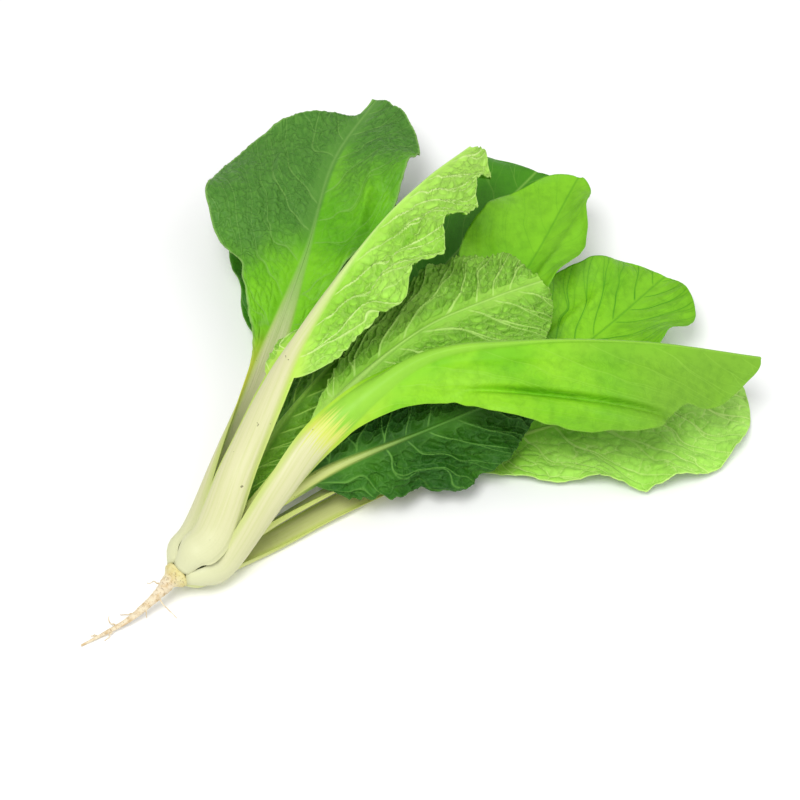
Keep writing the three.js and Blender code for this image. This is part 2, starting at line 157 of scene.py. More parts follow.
# %% [markdown]
# ## A leaf's centre line and its frame
#
# A leaf could be bent with a curve modifier, but then stalk, fold and roll would pull against each
# other. Here the centre line is a smooth curve through a few points, and every place on the leaf is
# found from it directly: how far along it, s, and how far across the sheet, u millimetres.

# %% Centre line and frame
def smooth(a, b, x):
    """0 before a, 1 after b, and the curve 3t^2 - 2t^3 between them."""
    t = np.clip((x - a) / (b - a), 0, 1)
    return t * t * (3 - 2 * t)


def mix(a, b, t):
    """a where t is 0 and b where t is 1."""
    return a + (b - a) * t


def through(points, samples=400):
    """A uniform Catmull-Rom curve: each span is the cubic that leaves and meets its ends along the
    chords of their neighbours, with the end points mirrored."""
    P = np.asarray(points, float)
    P = np.vstack([2 * P[0] - P[1], P, 2 * P[-1] - P[-2]])
    spans = len(P) - 3
    t = np.linspace(0, spans, samples + 1)
    i = np.minimum(t.astype(int), spans - 1)
    w = (t - i)[:, None]
    p0, p1, p2, p3 = P[i], P[i + 1], P[i + 2], P[i + 3]
    v1, v2 = (p2 - p0) / 2, (p3 - p1) / 2
    return (2 * p1 - 2 * p2 + v1 + v2) * w**3 + (3 * p2 - 3 * p1 - 2 * v1 - v2) * w**2 + v1 * w + p1


class Line:
    """A curve that is read by the share of its length."""

    def __init__(self, points):
        self.samples = through(points)
        steps = np.linalg.norm(np.diff(self.samples, axis=0), axis=1)
        self.reach = np.concatenate([[0], np.cumsum(steps)])
        self.length = self.reach[-1]

    def at(self, s):
        """The point at a share of the length, on the straight between the two samples around it."""
        far = np.clip(s, 0, 1) * self.length
        return np.stack([np.interp(far, self.reach, self.samples[:, k]) for k in range(3)], -1)

    def along(self, s, step=0.012):
        """The direction there: that of the chord from a step before to a step beyond."""
        ahead = self.at(s + step) - self.at(s - step)
        return ahead / np.linalg.norm(ahead, axis=-1, keepdims=True)


def ring_points(ring, angle):
    """Three points on circles of growing radius round the head's axis, at one angle from the top."""
    turn = np.radians(angle)
    return [(x, r * np.sin(turn), CROWN_HEIGHT + r * np.cos(turn)) for r, x in zip(*ring)]


print("a stalk on top starts at", ring_points(TOP_RING, 0))

# %% [markdown]
# ## The leaf's body
#
# Near the crown a stalk is a crescent that wraps the head, with a thick middle and thin margins. Further
# out it narrows into the midrib, and the blade widens on both sides of it. The cross-section is an arc:
# its slope grows evenly away from the midrib, so a fold or a curl is one number each.

# %% The leaf model
class Leaf:
    """One leaf's shape: where a place on its sheet lies in space."""

    def __init__(self, name, ring, bend, ramp, flare, turn, stalk, path, wing, fold, curl, ruffle, angle=0):
        self.name, self.bend, self.ramp, self.flare = name, bend, ramp, flare
        self.turn, self.stalk, self.wing = turn, stalk, wing
        self.fold, self.curl, self.ruffle = fold, curl, ruffle
        self.line = Line((ring_points(ring, angle) if ring else []) + list(path))
        self.length = self.line.length

    def axes(self, s):
        """The direction along the leaf, the way across it and its outer normal: the level frame of the
        centre line, rolled by the leaf's turn."""
        along = self.line.along(s)
        level = np.cross([0, 0, 1.0], along)
        level /= np.linalg.norm(level, axis=-1, keepdims=True)
        rise = np.cross(along, level)
        base, middle, tip = np.radians(self.turn)
        roll = base + (middle - base) * smooth(0.03, 0.55, s) + (tip - middle) * smooth(0.55, 1, s)
        c, q = np.cos(roll)[..., None], np.sin(roll)[..., None]
        return along, c * level - q * rise, c * rise + q * level

    def rib_half(self, s):
        """Half width of stalk and midrib: narrow at the foot, widest just above it, and slim at the
        tip."""
        foot = mix(self.ramp, 1, smooth(-0.01, 0.06, s))
        swell = 1 + self.flare * (1 - smooth(0.05, 0.3, s))
        return RIB_TIP_HALF + (self.stalk[0] - RIB_TIP_HALF) * (1 - smooth(*RIB_TAPER, s)) * swell * foot

    def rib_thickness(self, s):
        """Thickness of stalk and midrib, which is full above the foot and thins towards the tip."""
        full = self.stalk[1] - RIB_TIP_THICKNESS
        return RIB_TIP_THICKNESS + full * (1 - smooth(0.2, 0.9, s)) * smooth(-0.03, 0.07, s)

    def wing_half(self, s, left):
        """Half width of the blade: a power of the way from its start times a power of the way to its
        tip."""
        start, wide_left, wide_right, *powers = self.wing
        a = np.where(left, powers[0], powers[-2])
        b = np.where(left, powers[1], powers[-1])
        t = np.clip((s - start) / (1 - start), 0, 1)
        widest = a / (a + b)
        return np.where(left, wide_left, wide_right) * (t / widest) ** a * ((1 - t) / (1 - widest)) ** b

    def section(self, s, u):
        """How far across and down the arc of the section has got at u, and its slope there: the integral
        of the cosine and the sine of a slope that grows evenly with u."""
        left = u >= 0
        far = np.abs(u)
        opened = smooth(self.wing[0], self.wing[0] + 0.2, s)
        radius = mix(*self.bend, smooth(-0.01, 0.065, s))
        fold = np.radians(np.where(left, *self.fold)) * opened
        curl = np.radians(np.where(left, *self.curl)) / np.where(left, *self.wing[1:3]) * opened
        bend = (1 - 0.75 * smooth(0.02, 0.45, s)) * (1 - opened) / radius + curl
        bend = np.where(np.abs(bend) < 1e-6, 1e-6, bend)
        slope = fold + bend * far
        sign = np.where(left, 1, -1)
        across = sign * (np.sin(slope) - np.sin(fold)) / bend
        return across, (np.cos(fold) - np.cos(slope)) / bend, sign * slope

    def wave(self, s, u):
        """The margin's broad waves: a sine along the leaf that grows as a power of the way to the
        margin."""
        height, waves, phase_left, phase_right = self.ruffle
        left = u >= 0
        t = np.clip((s - self.wing[0]) / (1 - self.wing[0]), 0, 1)
        reach = np.clip(np.abs(u) / (self.rib_half(s) + self.wing_half(s, left)), 0, 1)
        fade = np.minimum(1, self.wing_half(s, True) / (0.5 * self.wing[1]))
        phase = np.where(left, phase_left, phase_right)
        return height * smooth(0.05, 0.35, t) * reach**2.2 * np.sin(2 * np.pi * (waves * t + phase)) * fade

    def place(self, s, u, offset):
        """The point on the leaf at s and u, moved by offset along the outer normal of the section
        there."""
        _, across, outer = self.axes(s)
        a, down, slope = self.section(s, u)
        a = a + offset * np.sin(slope)
        out = offset * np.cos(slope) - down
        return self.line.at(s) + a[..., None] * across + out[..., None] * outer


leaves = {name: Leaf(name, **shape) for name, shape in LEAVES.items()}
print("lengths in mm:", {name: round(leaf.length) for name, leaf in leaves.items()})

# %% [markdown]
# ## Where the head lies in the frame
#
# The frame's origin is the middle of the whole object's box, so the head was shifted by an amount that
# depends on all of its leaves. It is read back from one stalk: the same corners as its solid has are
# worked out here, and the difference between the two boxes is the shift.

# %% The shift from the crown to the frame
STALK_END = 0.893
STALK_GRID = (17, 5)
STALK_CROWDING = 1.25
STALK_ROUNDNESS = 0.7


def stalk_corners(leaf):
    """The corners of the plain stalk: a lens whose thickness is a power of a half circle's square, in
    rows that crowd towards the foot."""
    rows, columns = STALK_GRID
    s = STALK_END * np.linspace(0, 1, rows)[:, None] ** STALK_CROWDING
    f = np.linspace(-1, 1, columns)[None, :]
    swell = (leaf.rib_thickness(s) - STALK_EDGE) * (1 - f**2) ** STALK_ROUNDNESS
    s, u, swell = np.broadcast_arrays(s, f * leaf.rib_half(s), swell)
    outside = leaf.place(s, u, STALK_EDGE / 2 + swell * OUTER_SHARE)
    inside = leaf.place(s, u, -STALK_EDGE / 2 - swell * (1 - OUTER_SHARE))
    return np.concatenate([outside.reshape(-1, 3), inside.reshape(-1, 3)])


def shift_from(node):
    """The way from the stalk's box here to its solid's box in the frame."""
    corners = stalk_corners(leaves[node.removesuffix("_stalk")]) * MM
    low, high = (np.array(corner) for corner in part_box(node))
    return ((low - corners.min(0)) + (high - corners.max(0))) / 2


SHIFT = shift_from("broad_left_stalk")
other_shift = shift_from("top_stalk_stalk")
print("shift in mm:", np.round(SHIFT / MM, 2), "and by another stalk:", np.round(other_shift / MM, 2))

# %% [markdown]
# ## The camera
#
# The photograph looks down on the head from its right side, from about 80 cm away. The camera is set by
# its angles and its distance from the crown, and by where in the picture the crown is seen.

# %% Camera
AZIMUTH, ELEVATION = np.radians(-47), np.radians(52)
LENS, SENSOR = 85.0, 36.0
CLIP_END = 20
CROWN_DEPTH = 830.0
FRAME_PIXELS = 800
CROWN_PIXEL = (180, 572)


def look_axes(azimuth, elevation):
    """Right, up and back directions of a camera that looks from an azimuth and elevation, with the
    horizon level."""
    level = np.cos(elevation)
    back = np.array([np.sin(azimuth) * level, -np.cos(azimuth) * level, np.sin(elevation)])
    right = np.array([np.cos(azimuth), np.sin(azimuth), 0.0])
    return right, np.cross(back, right), back


def make_camera():
    """A camera that sees the crown at its pixel: the crown is as far right and down of the view's middle
    as the pixel is, times its distance and the sensor's half width over the lens."""
    right, up, back = look_axes(AZIMUTH, ELEVATION)
    half = SENSOR / 2 / LENS
    middle = FRAME_PIXELS / 2
    x = (CROWN_PIXEL[0] - middle) / middle * half
    y = -(CROWN_PIXEL[1] - middle) / middle * half
    crown = np.array([0, 0, CROWN_HEIGHT])
    place = (crown - CROWN_DEPTH * (x * right + y * up - back)) * MM + SHIFT
    data = bpy.data.cameras.new("camera")
    data.lens, data.sensor_width, data.clip_end = LENS, SENSOR, CLIP_END
    camera = bpy.data.objects.new("camera", data)
    turn = Matrix([[right[k], up[k], back[k]] for k in range(3)]).to_4x4()
    camera.matrix_world = Matrix.Translation(Vector(place)) @ turn
    bpy.context.collection.objects.link(camera)
    bpy.context.scene.camera = camera
    print("camera at", [round(v, 3) for v in camera.location])


make_camera()

# %% [markdown]
# ## Chance that repeats
#
# Puckers and vein nets are irregular, but the leaf has to be the same each time. Both noises here read a
# small table of seeded random numbers: one blends its neighbours smoothly, and the other measures the
# gap between the two nearest of many scattered points, which is zero along the seams between cells.

# %% Noises
TABLE = 64
CELL_JITTER = 0.75


def drifting(x, y, seed):
    """Value noise from -1 to 1: random numbers on a unit lattice and an S curve between them."""
    table = np.random.default_rng(seed).uniform(-1, 1, (TABLE, TABLE))
    i, j = np.floor(x).astype(int), np.floor(y).astype(int)
    a, b = smooth(0, 1, x - i), smooth(0, 1, y - j)
    near = mix(table[i % TABLE, j % TABLE], table[(i + 1) % TABLE, j % TABLE], a)
    far = mix(table[i % TABLE, (j + 1) % TABLE], table[(i + 1) % TABLE, (j + 1) % TABLE], a)
    return mix(near, far, b)


def cell_gap(x, y, seed):
    """Distance from the nearest seam between scattered points, one in each unit square: half the
    difference between the squared distances to the two nearest points, over the distance between those
    points."""
    table = np.random.default_rng(seed).uniform(-0.5, 0.5, (TABLE, TABLE, 2)) * CELL_JITTER + 0.5
    i, j = np.floor(x).astype(int), np.floor(y).astype(int)
    nearest = np.full(x.shape, np.inf)
    spot = np.zeros(x.shape + (2,))
    points = []
    for di in (-1, 0, 1):
        for dj in (-1, 0, 1):
            offset = table[(i + di) % TABLE, (j + dj) % TABLE]
            point = np.stack([i + di + offset[..., 0], j + dj + offset[..., 1]], -1)
            points.append(point)
            far = (point[..., 0] - x) ** 2 + (point[..., 1] - y) ** 2
            closer = far < nearest
            nearest = np.where(closer, far, nearest)
            spot = np.where(closer[..., None], point, spot)
    gap = np.full(x.shape, np.inf)
    for point in points:
        far = (point[..., 0] - x) ** 2 + (point[..., 1] - y) ** 2
        apart = np.linalg.norm(point - spot, axis=-1)
        seam = (far - nearest) / np.maximum(2 * apart, 1e-6)
        gap = np.where(apart > 1e-6, np.minimum(gap, seam), gap)
    return gap


tries = np.arange(0, 8, 0.5)
print("noise along a line:", np.round(drifting(tries, 0.5, 1), 2))

# %% [markdown]
# ## The relief of each leaf
#
# How strongly a leaf puckers and how its margin is cut is what sets it apart from the next, so each has
# its own measures. spacing and angle are the way from one side vein to the next along the midrib, in mm,
# and their slant in degrees. pleat is the depth of the fields between them, pucker and cell are the
# height and width of the net's cells, and ridge is the height of the veins, all in mm. crimp is the
# height and number of the margin's fine waves, and lobe the depth and number of the lobes of its
# outline. drift is the height of slow, broad dents, and calm the share of the margin's broad waves that
# is left. wander says how much the veins stray, 1 for most leaves. notch says where the right half is
# cut in, its half width along the leaf, and its depth in mm.

# %% Relief measures
RELIEF = {
    "floor_right": dict(
        spacing=18, angle=60, pleat=1.1, pucker=1.0, cell=8, ridge=0.25, crimp=(1.4, 13), lobe=(2.6, 9),
        drift=2.0, wander=1.4,
    ),
    "floor_left": dict(
        spacing=20, angle=44, pleat=0.8, pucker=0.5, cell=8, ridge=0.3, crimp=(1.0, 11), lobe=(2.0, 8),
        drift=2.0,
    ),
    "back_right": dict(
        spacing=15, angle=46, pleat=0.7, pucker=0.3, cell=7, ridge=0.2, crimp=(0.6, 9), lobe=(2.4, 8),
        drift=2.0,
    ),
    "back_left": dict(
        spacing=22, angle=40, pleat=0.2, pucker=0.15, cell=8, ridge=0.1, crimp=(0.5, 9), lobe=(1.6, 8),
        drift=2.2,
    ),
    "back_middle": dict(
        spacing=20, angle=40, pleat=0.4, pucker=0.15, cell=8, ridge=0.1, crimp=(0.6, 9), lobe=(1.6, 8),
        drift=2.5,
    ),
    "broad_left": dict(
        spacing=22, angle=43, pleat=0.9, pucker=0.9, cell=5, ridge=0.4, crimp=(1.2, 13), lobe=(2.6, 12),
        drift=3.0, wander=1.4, notch=(0.53, 0.025, 6.0),
    ),
    "heart_dark": dict(
        spacing=13, angle=38, pleat=1.2, pucker=1.5, cell=4.2, ridge=0.4, crimp=(1.3, 15),
        lobe=(2.0, 12), drift=1.5,
    ),
    "dark_right": dict(
        spacing=15, angle=54, pleat=2.6, pucker=2.4, cell=5.2, ridge=0.4, crimp=(3.4, 11),
        lobe=(4.0, 12), drift=4.0, wander=2.2,
    ),
    "heart_bud": dict(
        spacing=10, angle=35, pleat=0.2, pucker=0.3, cell=3, ridge=0.2, crimp=(0.5, 9), lobe=(0.5, 8),
        drift=0.3,
    ),
    "crinkled": dict(
        spacing=15, angle=47, pleat=1.5, pucker=2.8, cell=4.8, ridge=0.5, crimp=(1.4, 17),
        lobe=(2.0, 16), drift=1.6, calm=0.55, wander=1.5,
    ),
    "folded_right": dict(
        spacing=26, angle=26, pleat=0.3, pucker=0.1, cell=8, ridge=0.1, crimp=(0.8, 9), lobe=(2.6, 11),
        drift=2.5, notch=(0.875, 0.035, 8.0),
    ),
    "top_stalk": dict(
        spacing=20, angle=56, pleat=1.8, pucker=2.0, cell=5, ridge=0.6, crimp=(1.7, 14), lobe=(3.2, 14),
        drift=1.6, wander=1.7,
    ),
}
print("highest puckers in mm:", max(relief["pucker"] for relief in RELIEF.values()))

# %% [markdown]
# ## Where the veins run
#
# Side veins leave the midrib at a slant and sweep towards the tip. Each forks on its way to the margin,
# shorter ones start between them, and a net of fine veins fills the fields. Drawing each as a curve
# would take thousands of points. Here they are counted instead: a number that grows by one from vein to
# vein is whole on every vein, so both the relief and the paint find a vein as the place where it is near
# a whole number.

# %% Vein counts
VEIN_SWEEP = 0.5
SIDE_SHIFT = 0.37
OTHER_SIDE = 31
FORK_SPREAD, FORK_SPAN = 0.34, (0.3, 0.95)
TWIG_SPREAD, TWIG_SPAN = 0.5, (0.05, 0.8)
NET_SLANT, NET_SQUASH = 0.6, 0.85
# Height of each noise, as a share of a spacing, and its size in mm along the leaf and across it.
SLOW_STRAY = (0.34, 30, 20)
QUICK_STRAY = (0.12, 9, 9)
BRANCH_STRAY = (0.2, 24, 40)
NET_STRAY = (0.35, 5, 5)


def stray(kind, x, across, seed, side=0):
    """The noise of one kind at a place on the leaf."""
    height, size_along, size_across = kind
    return height * drifting(x / size_along + side, across / size_across, seed)


def vein_fields(leaf, relief, x, u, reach, seed):
    """Counts of the side veins, their forks and the shorter veins between them passed so far, and the
    distance in mm from the net. Vein n is where the way along, less the way across times the cotangent
    of the slant, is n spacings. A fork moves off its vein by a third of a spacing on the way to the
    margin."""
    far = np.abs(u)
    side = np.where(u >= 0, 0, OTHER_SIDE)
    run = far / np.tan(np.radians(relief["angle"])) * (1 + VEIN_SWEEP * far / leaf.wing[1])
    bend = stray(SLOW_STRAY, x, far, seed, side)
    bend = bend + smooth(2, 12, far) * stray(QUICK_STRAY, x, far, seed + 1, side)
    bend = bend * relief.get("wander", 1.0)
    passed = (x - run) / relief["spacing"] + np.where(u >= 0, 0.0, SIDE_SHIFT) + bend
    uneven = stray(BRANCH_STRAY, x, far, seed + 13, side)
    fork = passed + FORK_SPREAD * smooth(*FORK_SPAN, reach + uneven)
    twig = passed - TWIG_SPREAD * smooth(*TWIG_SPAN, reach + uneven)
    cell = relief["cell"]
    net_x = (x - NET_SLANT * run) / cell + stray(NET_STRAY, x, u, seed + 2)
    net_y = u / (NET_SQUASH * cell) + stray(NET_STRAY, x, u, seed + 3)
    return passed, fork, twig, cell_gap(net_x, net_y, seed + 4) * cell


def to_whole(value):
    """Distance from the nearest whole number."""
    return np.abs(value - np.round(value))


def vein_gap(relief):
    """Distance in mm between two side veins, measured square to them."""
    return relief["spacing"] * float(np.sin(np.radians(relief["angle"])))


gaps = {name: round(vein_gap(relief), 1) for name, relief in RELIEF.items()}
print("side veins in mm from each other:", gaps)

# %% [markdown]
# ## Puckers, pleats and dents
#
# The veins hold the sheet down on its outer face and the fields between them belly out to the inner
# face. A real pucker is a dome, so the height is an exponential curve of the distance to the nearest
# vein or net line. One height map moves both faces, which makes ridges on one and furrows on the other,
# as on the plant.

# %% Height of the sheet
VEIN_HALF = 0.9
DOME_SHARE = 0.25
PLEAT_STEEPNESS = 2.2
DENT_SIZE = (38, 26)
CRIMP_LANES = (3.5, 8.5)


def leaf_height(leaf, relief, s, u, total, seed):
    """Height of the sheet above its plain form, and of its veins above that: the broad waves, fine
    crimps that grow with the fourth power of the way to the margin, slow dents, pleats from vein to vein
    and a dome in each cell of the net."""
    x = s * leaf.length
    reach = np.clip(np.abs(u) / total, 0, 1)
    passed, fork, twig, net = vein_fields(leaf, relief, x, u, reach, seed)
    rib = np.abs(u) - leaf.rib_half(s)
    t = np.clip((s - leaf.wing[0]) / (1 - leaf.wing[0]), 0, 1)
    blade = smooth(0.3, 5, rib) * smooth(0, 0.12, t)

    crimp, waves = relief["crimp"]
    lane = np.where(u >= 0, *CRIMP_LANES)
    fine = drifting(t * waves * 2, lane, seed + 5) + 0.5 * drifting(t * waves * 5, lane, seed + 6)
    fine = crimp * reach**4 * fine * smooth(0.02, 0.2, t)
    dents = relief["drift"] * drifting(x / DENT_SIZE[0], u / DENT_SIZE[1], seed + 7) * smooth(3, 18, rib)

    near_vein = np.minimum(to_whole(passed), to_whole(fork))
    near_line = near_vein * vein_gap(relief)
    dome = 1 - np.exp(-np.minimum(net, near_line) / (DOME_SHARE * relief["cell"]))
    pleat = np.minimum(1, PLEAT_STEEPNESS * near_vein) * (1 - smooth(0.75, 1, reach))
    puffs = relief["pucker"] * (dome - 0.5) + relief["pleat"] * (pleat - 0.5)
    vein = np.exp(-((near_line / VEIN_HALF) ** 2)) * (1 - smooth(0.3, 0.95, reach))
    height = relief.get("calm", 1.0) * leaf.wave(s, u) + fine + dents - puffs * blade
    fields = {"passed": passed, "fork": fork, "twig": twig, "net": net, "rib": rib, "dome": dome * blade}
    return height, relief["ridge"] * vein * blade, fields


probe = np.linspace(2, 30, 8)
probe_height = leaf_height(leaves["crinkled"], RELIEF["crinkled"], np.full(8, 0.7), probe, 32.0, 1000)[0]
print("heights in mm across crinkled:", np.round(probe_height, 1))

# %% [markdown]
# ## Long creases and a second shade
#
# A few leaves have a furrow of their own with a swollen rim beside it, where the leaf was folded in the
# bunch. Each is a bell curve across a slanting line. Some leaves also turn another green towards the
# tip, beyond a wavy line, later on one half than on the other.

# %% Creases and shades
# From and to as shares of the length, place across in mm at both ends, depth, half width, and the height
# and half width of the bulge on the outer side.
CREASES = {
    "folded_right": [(0.5, 0.9, -19, -37, 6.0, 1.5, 5.0, 7.0), (0.4, 0.95, -5, -12, 0.8, 2.5, 0.0, 5.0)],
    "broad_left": [(0.42, 0.9, 21, 24, 3.0, 3.0, 2.0, 6.0), (0.5, 0.85, -18, -30, 1.6, 2.0, 1.0, 6.0)],
    "top_stalk": [(0.42, 0.85, -17, -20, 2.2, 1.8, 2.0, 6.0), (0.55, 0.95, -9, -7, 1.2, 1.6, 0.5, 5.0)],
    "back_middle": [(0.6, 0.95, 10, 14, 1.5, 3.0, 1.0, 6.0)],
    "back_right": [(0.6, 0.95, -14, -16, 1.5, 3.0, 1.0, 6.0)],
}
CREASE_TURN = 1.5
# Where the tip's shade starts and ends, as shares of the length, and how much later it does on the left
# half.
TONES = {"broad_left": (0.5, 0.66, 0.2), "back_right": (0.75, 1.0, 0.0), "folded_right": (0.6, 0.9, 0.1)}
PLAIN_TONE = (0.6, 1.0, 0.0)


def crease(s, u, start, end, across_start, across_end, depth, width, bulge, bulge_width):
    """A furrow along a line that turns outwards with a power of the way along, and a bulge beside it,
    away from the midrib: two bell curves across the line, faded in and out at its ends."""
    q = (s - start) / (end - start)
    line = mix(across_start, across_end, np.clip(q, 0, 1) ** CREASE_TURN)
    off = (u - line) * np.sign(across_start)
    fade = smooth(0, 0.3, q) * (1 - smooth(0.65, 1, q))
    hill = bulge * np.exp(-(((off - bulge_width) / bulge_width) ** 2))
    return (hill - depth * np.exp(-((off / width) ** 2))) * fade


def leaf_tone(leaf, s, u, seed):
    """How far the colour has changed to the tip's: 0 near the stalk and 1 beyond a wavy line."""
    start, end, later = TONES.get(leaf.name, PLAIN_TONE)
    delay = later * smooth(-1, 3, u)
    return smooth(start, end, s - delay + 0.07 * drifting(s * 7, u / 14, seed + 14))


print("creases:", sum(len(lines) for lines in CREASES.values()))

# %% [markdown]
# ## From grids to a mesh
#
# The two faces of a leaf are two grids of points that look at each other across its thickness, joined
# all round the edge. Built as one array of corners and one of faces, a leaf of a hundred thousand
# triangles takes a moment.

# %% Grids and meshes
def grid_faces(rows, columns):
    """Quads of a grid as corner numbers, row by row."""
    r, c = np.meshgrid(np.arange(rows - 1), np.arange(columns - 1), indexing="ij")
    first = (r * columns + c).ravel()
    return np.stack([first, first + columns, first + columns + 1, first + 1], 1)


def rim_faces(rows, columns):
    """Quads round the edge, from each grid edge on the first face to the same edge on the second."""
    n = rows * columns
    up = np.arange(rows) * columns
    right = np.arange(columns)
    top = (rows - 1) * columns + right
    down = up[::-1] + columns - 1
    loop = np.concatenate([up, top[1:], down[1:], right[::-1][1:]])
    a, b = loop[:-1], loop[1:]
    return np.stack([b, a, a + n, b + n], 1)


def make_mesh(name, points, faces, attributes=None, uv=None):
    """A smooth-shaded object from corners in metres, with a float attribute for each named array."""
    mesh = bpy.data.meshes.new(name)
    mesh.vertices.add(len(points))
    mesh.vertices.foreach_set("co", np.ascontiguousarray(points, np.float32).ravel())
    mesh.loops.add(faces.size)
    mesh.loops.foreach_set("vertex_index", faces.astype(np.int32).ravel())
    mesh.polygons.add(len(faces))
    mesh.polygons.foreach_set("loop_start", np.arange(0, faces.size, faces.shape[1], dtype=np.int32))
    mesh.update(calc_edges=True)
    mesh.validate()
    mesh.polygons.foreach_set("use_smooth", np.ones(len(mesh.polygons), bool))
    for key, values in (attributes or {}).items():
        layer = mesh.attributes.new(key, "FLOAT", "POINT")
        layer.data.foreach_set("value", np.ascontiguousarray(values, np.float32).ravel())
    if uv is not None:
        layer = mesh.uv_layers.new(name="leaf")
        layer.data.foreach_set("uv", uv[faces.ravel()].astype(np.float32).ravel())
    thing = bpy.data.objects.new(name, mesh)
    bpy.context.collection.objects.link(thing)
    return thing


print("a sheet of 3 by 4 points has", 2 * len(grid_faces(3, 4)) + len(rim_faces(3, 4)), "faces")

# %% [markdown]
# ## Rows, columns and the outline
#
# Rows of points are close together in the blade and further apart along the plain stalk, and leaves with
# fine relief get the smallest steps. Across, some columns belong to the rib and the rest share the
# blade, which shrinks to a thin margin beside the stalk, as the green edge of a real stalk does. The
# outline gets lobes and teeth from noise, so that no edge is a perfect curve.

# %% Rows and outline
STEP = {
    "top_stalk": 0.62, "crinkled": 0.52, "dark_right": 0.65, "heart_dark": 0.65, "floor_right": 0.85,
    "broad_left": 0.85, "folded_right": 1.0, "back_right": 1.0, "back_middle": 1.1, "back_left": 1.1,
}
PLAIN_STEP = 1.5
STALK_STEPS = 2.5
TIP_CROWDING = 1.25
LAST_ROW = 0.9995
RIB_COLUMNS = 8
FEWEST_COLUMNS = 8
FOOT_OVERLAP = 1.4
OUTER_STALK_HALF = 6
MARGIN_EDGE, MARGIN_WIDTH, MARGIN_FLARE = 0.1, 0.5, 0.9
LOBE_LANES = (2.5, 8.5)


def stations(leaf, step):
    """Shares of the length at which the leaf has a row: a few steps apart along the stalk, one step
    apart in the blade, and closer still where the tip rounds off."""
    start = leaf.wing[0]
    along_stalk = np.linspace(0, start, int(leaf.length * start / (STALK_STEPS * step)), endpoint=False)
    q = np.linspace(0, 1, int(leaf.length * (1 - start) / step))
    along_blade = start + (LAST_ROW - start) * (1 - (1 - q) ** TIP_CROWDING)
    return np.concatenate([along_stalk, along_blade])


def foot_half(leaf, s):
    """Half width of the rib, with an outer leaf's foot a little wider than its solid's, so that
    neighbours touch."""
    return leaf.rib_half(s) + FOOT_OVERLAP * (1 - smooth(0.0, 0.04, s)) * (leaf.stalk[0] > OUTER_STALK_HALF)


def half_widths(leaf, relief, s, left, seed):
    """Half width from the midrib to the margin: rib, a thin green margin beside the stalk, and the
    blade, with lobes from two sizes of noise and a notch as a bell curve."""
    t = np.clip((s - leaf.wing[0]) / (1 - leaf.wing[0]), 0, 1)
    depth, lobes = relief["lobe"]
    lane = LOBE_LANES[0] if left else LOBE_LANES[1]
    lobe = 0.75 * drifting(t * lobes, lane, seed + 9) + 0.3 * drifting(t * lobes * 3.1, lane, seed + 10)
    wing = leaf.wing_half(s, left)
    wing = wing + depth * (lobe - 0.25) * smooth(0.03, 0.2, t) * smooth(2, 14, wing)
    if not left and "notch" in relief:
        centre, width, cut = relief["notch"]
        wing = wing - cut * np.exp(-(((s - centre) / width) ** 2))
    flare = MARGIN_FLARE * smooth(leaf.wing[0] - 0.15, leaf.wing[0] + 0.02, s)
    margin = MARGIN_WIDTH * smooth(0, 0.05, s) + flare + MARGIN_EDGE
    return foot_half(leaf, s) + margin + wing


def leaf_grid(leaf, relief, seed):
    """For each point of the sheet its share along and its distance across, with the half widths of the
    rib and of the whole sheet. The rib's columns share the rib evenly and the others the blade."""
    step = STEP.get(leaf.name, PLAIN_STEP)
    s = stations(leaf, step)
    rib = foot_half(leaf, s)[:, None]
    on_rib = np.linspace(0, 1, RIB_COLUMNS)
    on_blade = np.linspace(0, 1, max(FEWEST_COLUMNS, int(max(leaf.wing[1:3]) / step)) + 1)[1:]
    totals = [half_widths(leaf, relief, s, left, seed)[:, None] for left in (False, True)]
    right, left = (np.concatenate([rib * on_rib, mix(rib, total, on_blade)], 1) for total in totals)
    u = np.concatenate([-right[:, :0:-1], left], 1)
    total = np.where(u >= 0, left[:, -1:], right[:, -1:])
    return np.repeat(s[:, None], u.shape[1], 1), u, rib, total


print("rows:", {name: len(stations(leaf, STEP.get(name, PLAIN_STEP))) for name, leaf in leaves.items()})

# %% [markdown]
# ## Building a leaf
#
# Stalk, midrib and blade grow as one piece, so each leaf is one closed sheet: its outer face, its inner
# face and the rim. The stalk is a swelling of that sheet, three quarters of it on the outer face. With
# the mesh go the fields that the paint reads later, such as the distance from the rib.

# %% Leaf sheets
RIB_SOFTNESS = (0.7, 1.3)
GROOVE_DEPTH, GROOVE_PHASE_PER_MM = 0.05, 2.6
MARGIN_THINNING = 0.35
INNER_RIDGE = 0.4


def rib_swell(leaf, s, u, rib, seed):
    """Extra thickness of stalk and midrib: a power of a half circle's square, and grooves along the
    stalk, which are a sine of the way across with a phase that wanders."""
    start = leaf.wing[0]
    lens = 1 - np.clip(u / rib, -1, 1) ** 2
    power = mix(*RIB_SOFTNESS, smooth(start, start + 0.15, s))
    swell = (leaf.rib_thickness(s) - BLADE_THICKNESS) * lens**power
    phase = 0.8 * drifting(s * 9, u * 0.4, seed + 12)
    grooves = GROOVE_DEPTH * np.sin(u * GROOVE_PHASE_PER_MM + phase) * lens
    return swell + grooves * (1 - smooth(start, start + 0.2, s)) * smooth(0.02, 0.1, s)


def lay_on_surface(outside, inside):
    """Nothing reaches below the surface: of each pair of points the lower is kept at 0 or above, and
    where it was lower than that, the upper is kept at the blade's thickness or above."""
    flipped = outside[..., 2] < inside[..., 2]
    low = np.where(flipped, outside[..., 2], inside[..., 2])
    high = np.where(flipped, inside[..., 2], outside[..., 2])
    high = np.where(low < 0, np.maximum(high, BLADE_THICKNESS), high)
    low = np.maximum(low, 0)
    outside[..., 2] = np.where(flipped, low, high)
    inside[..., 2] = np.where(flipped, high, low)


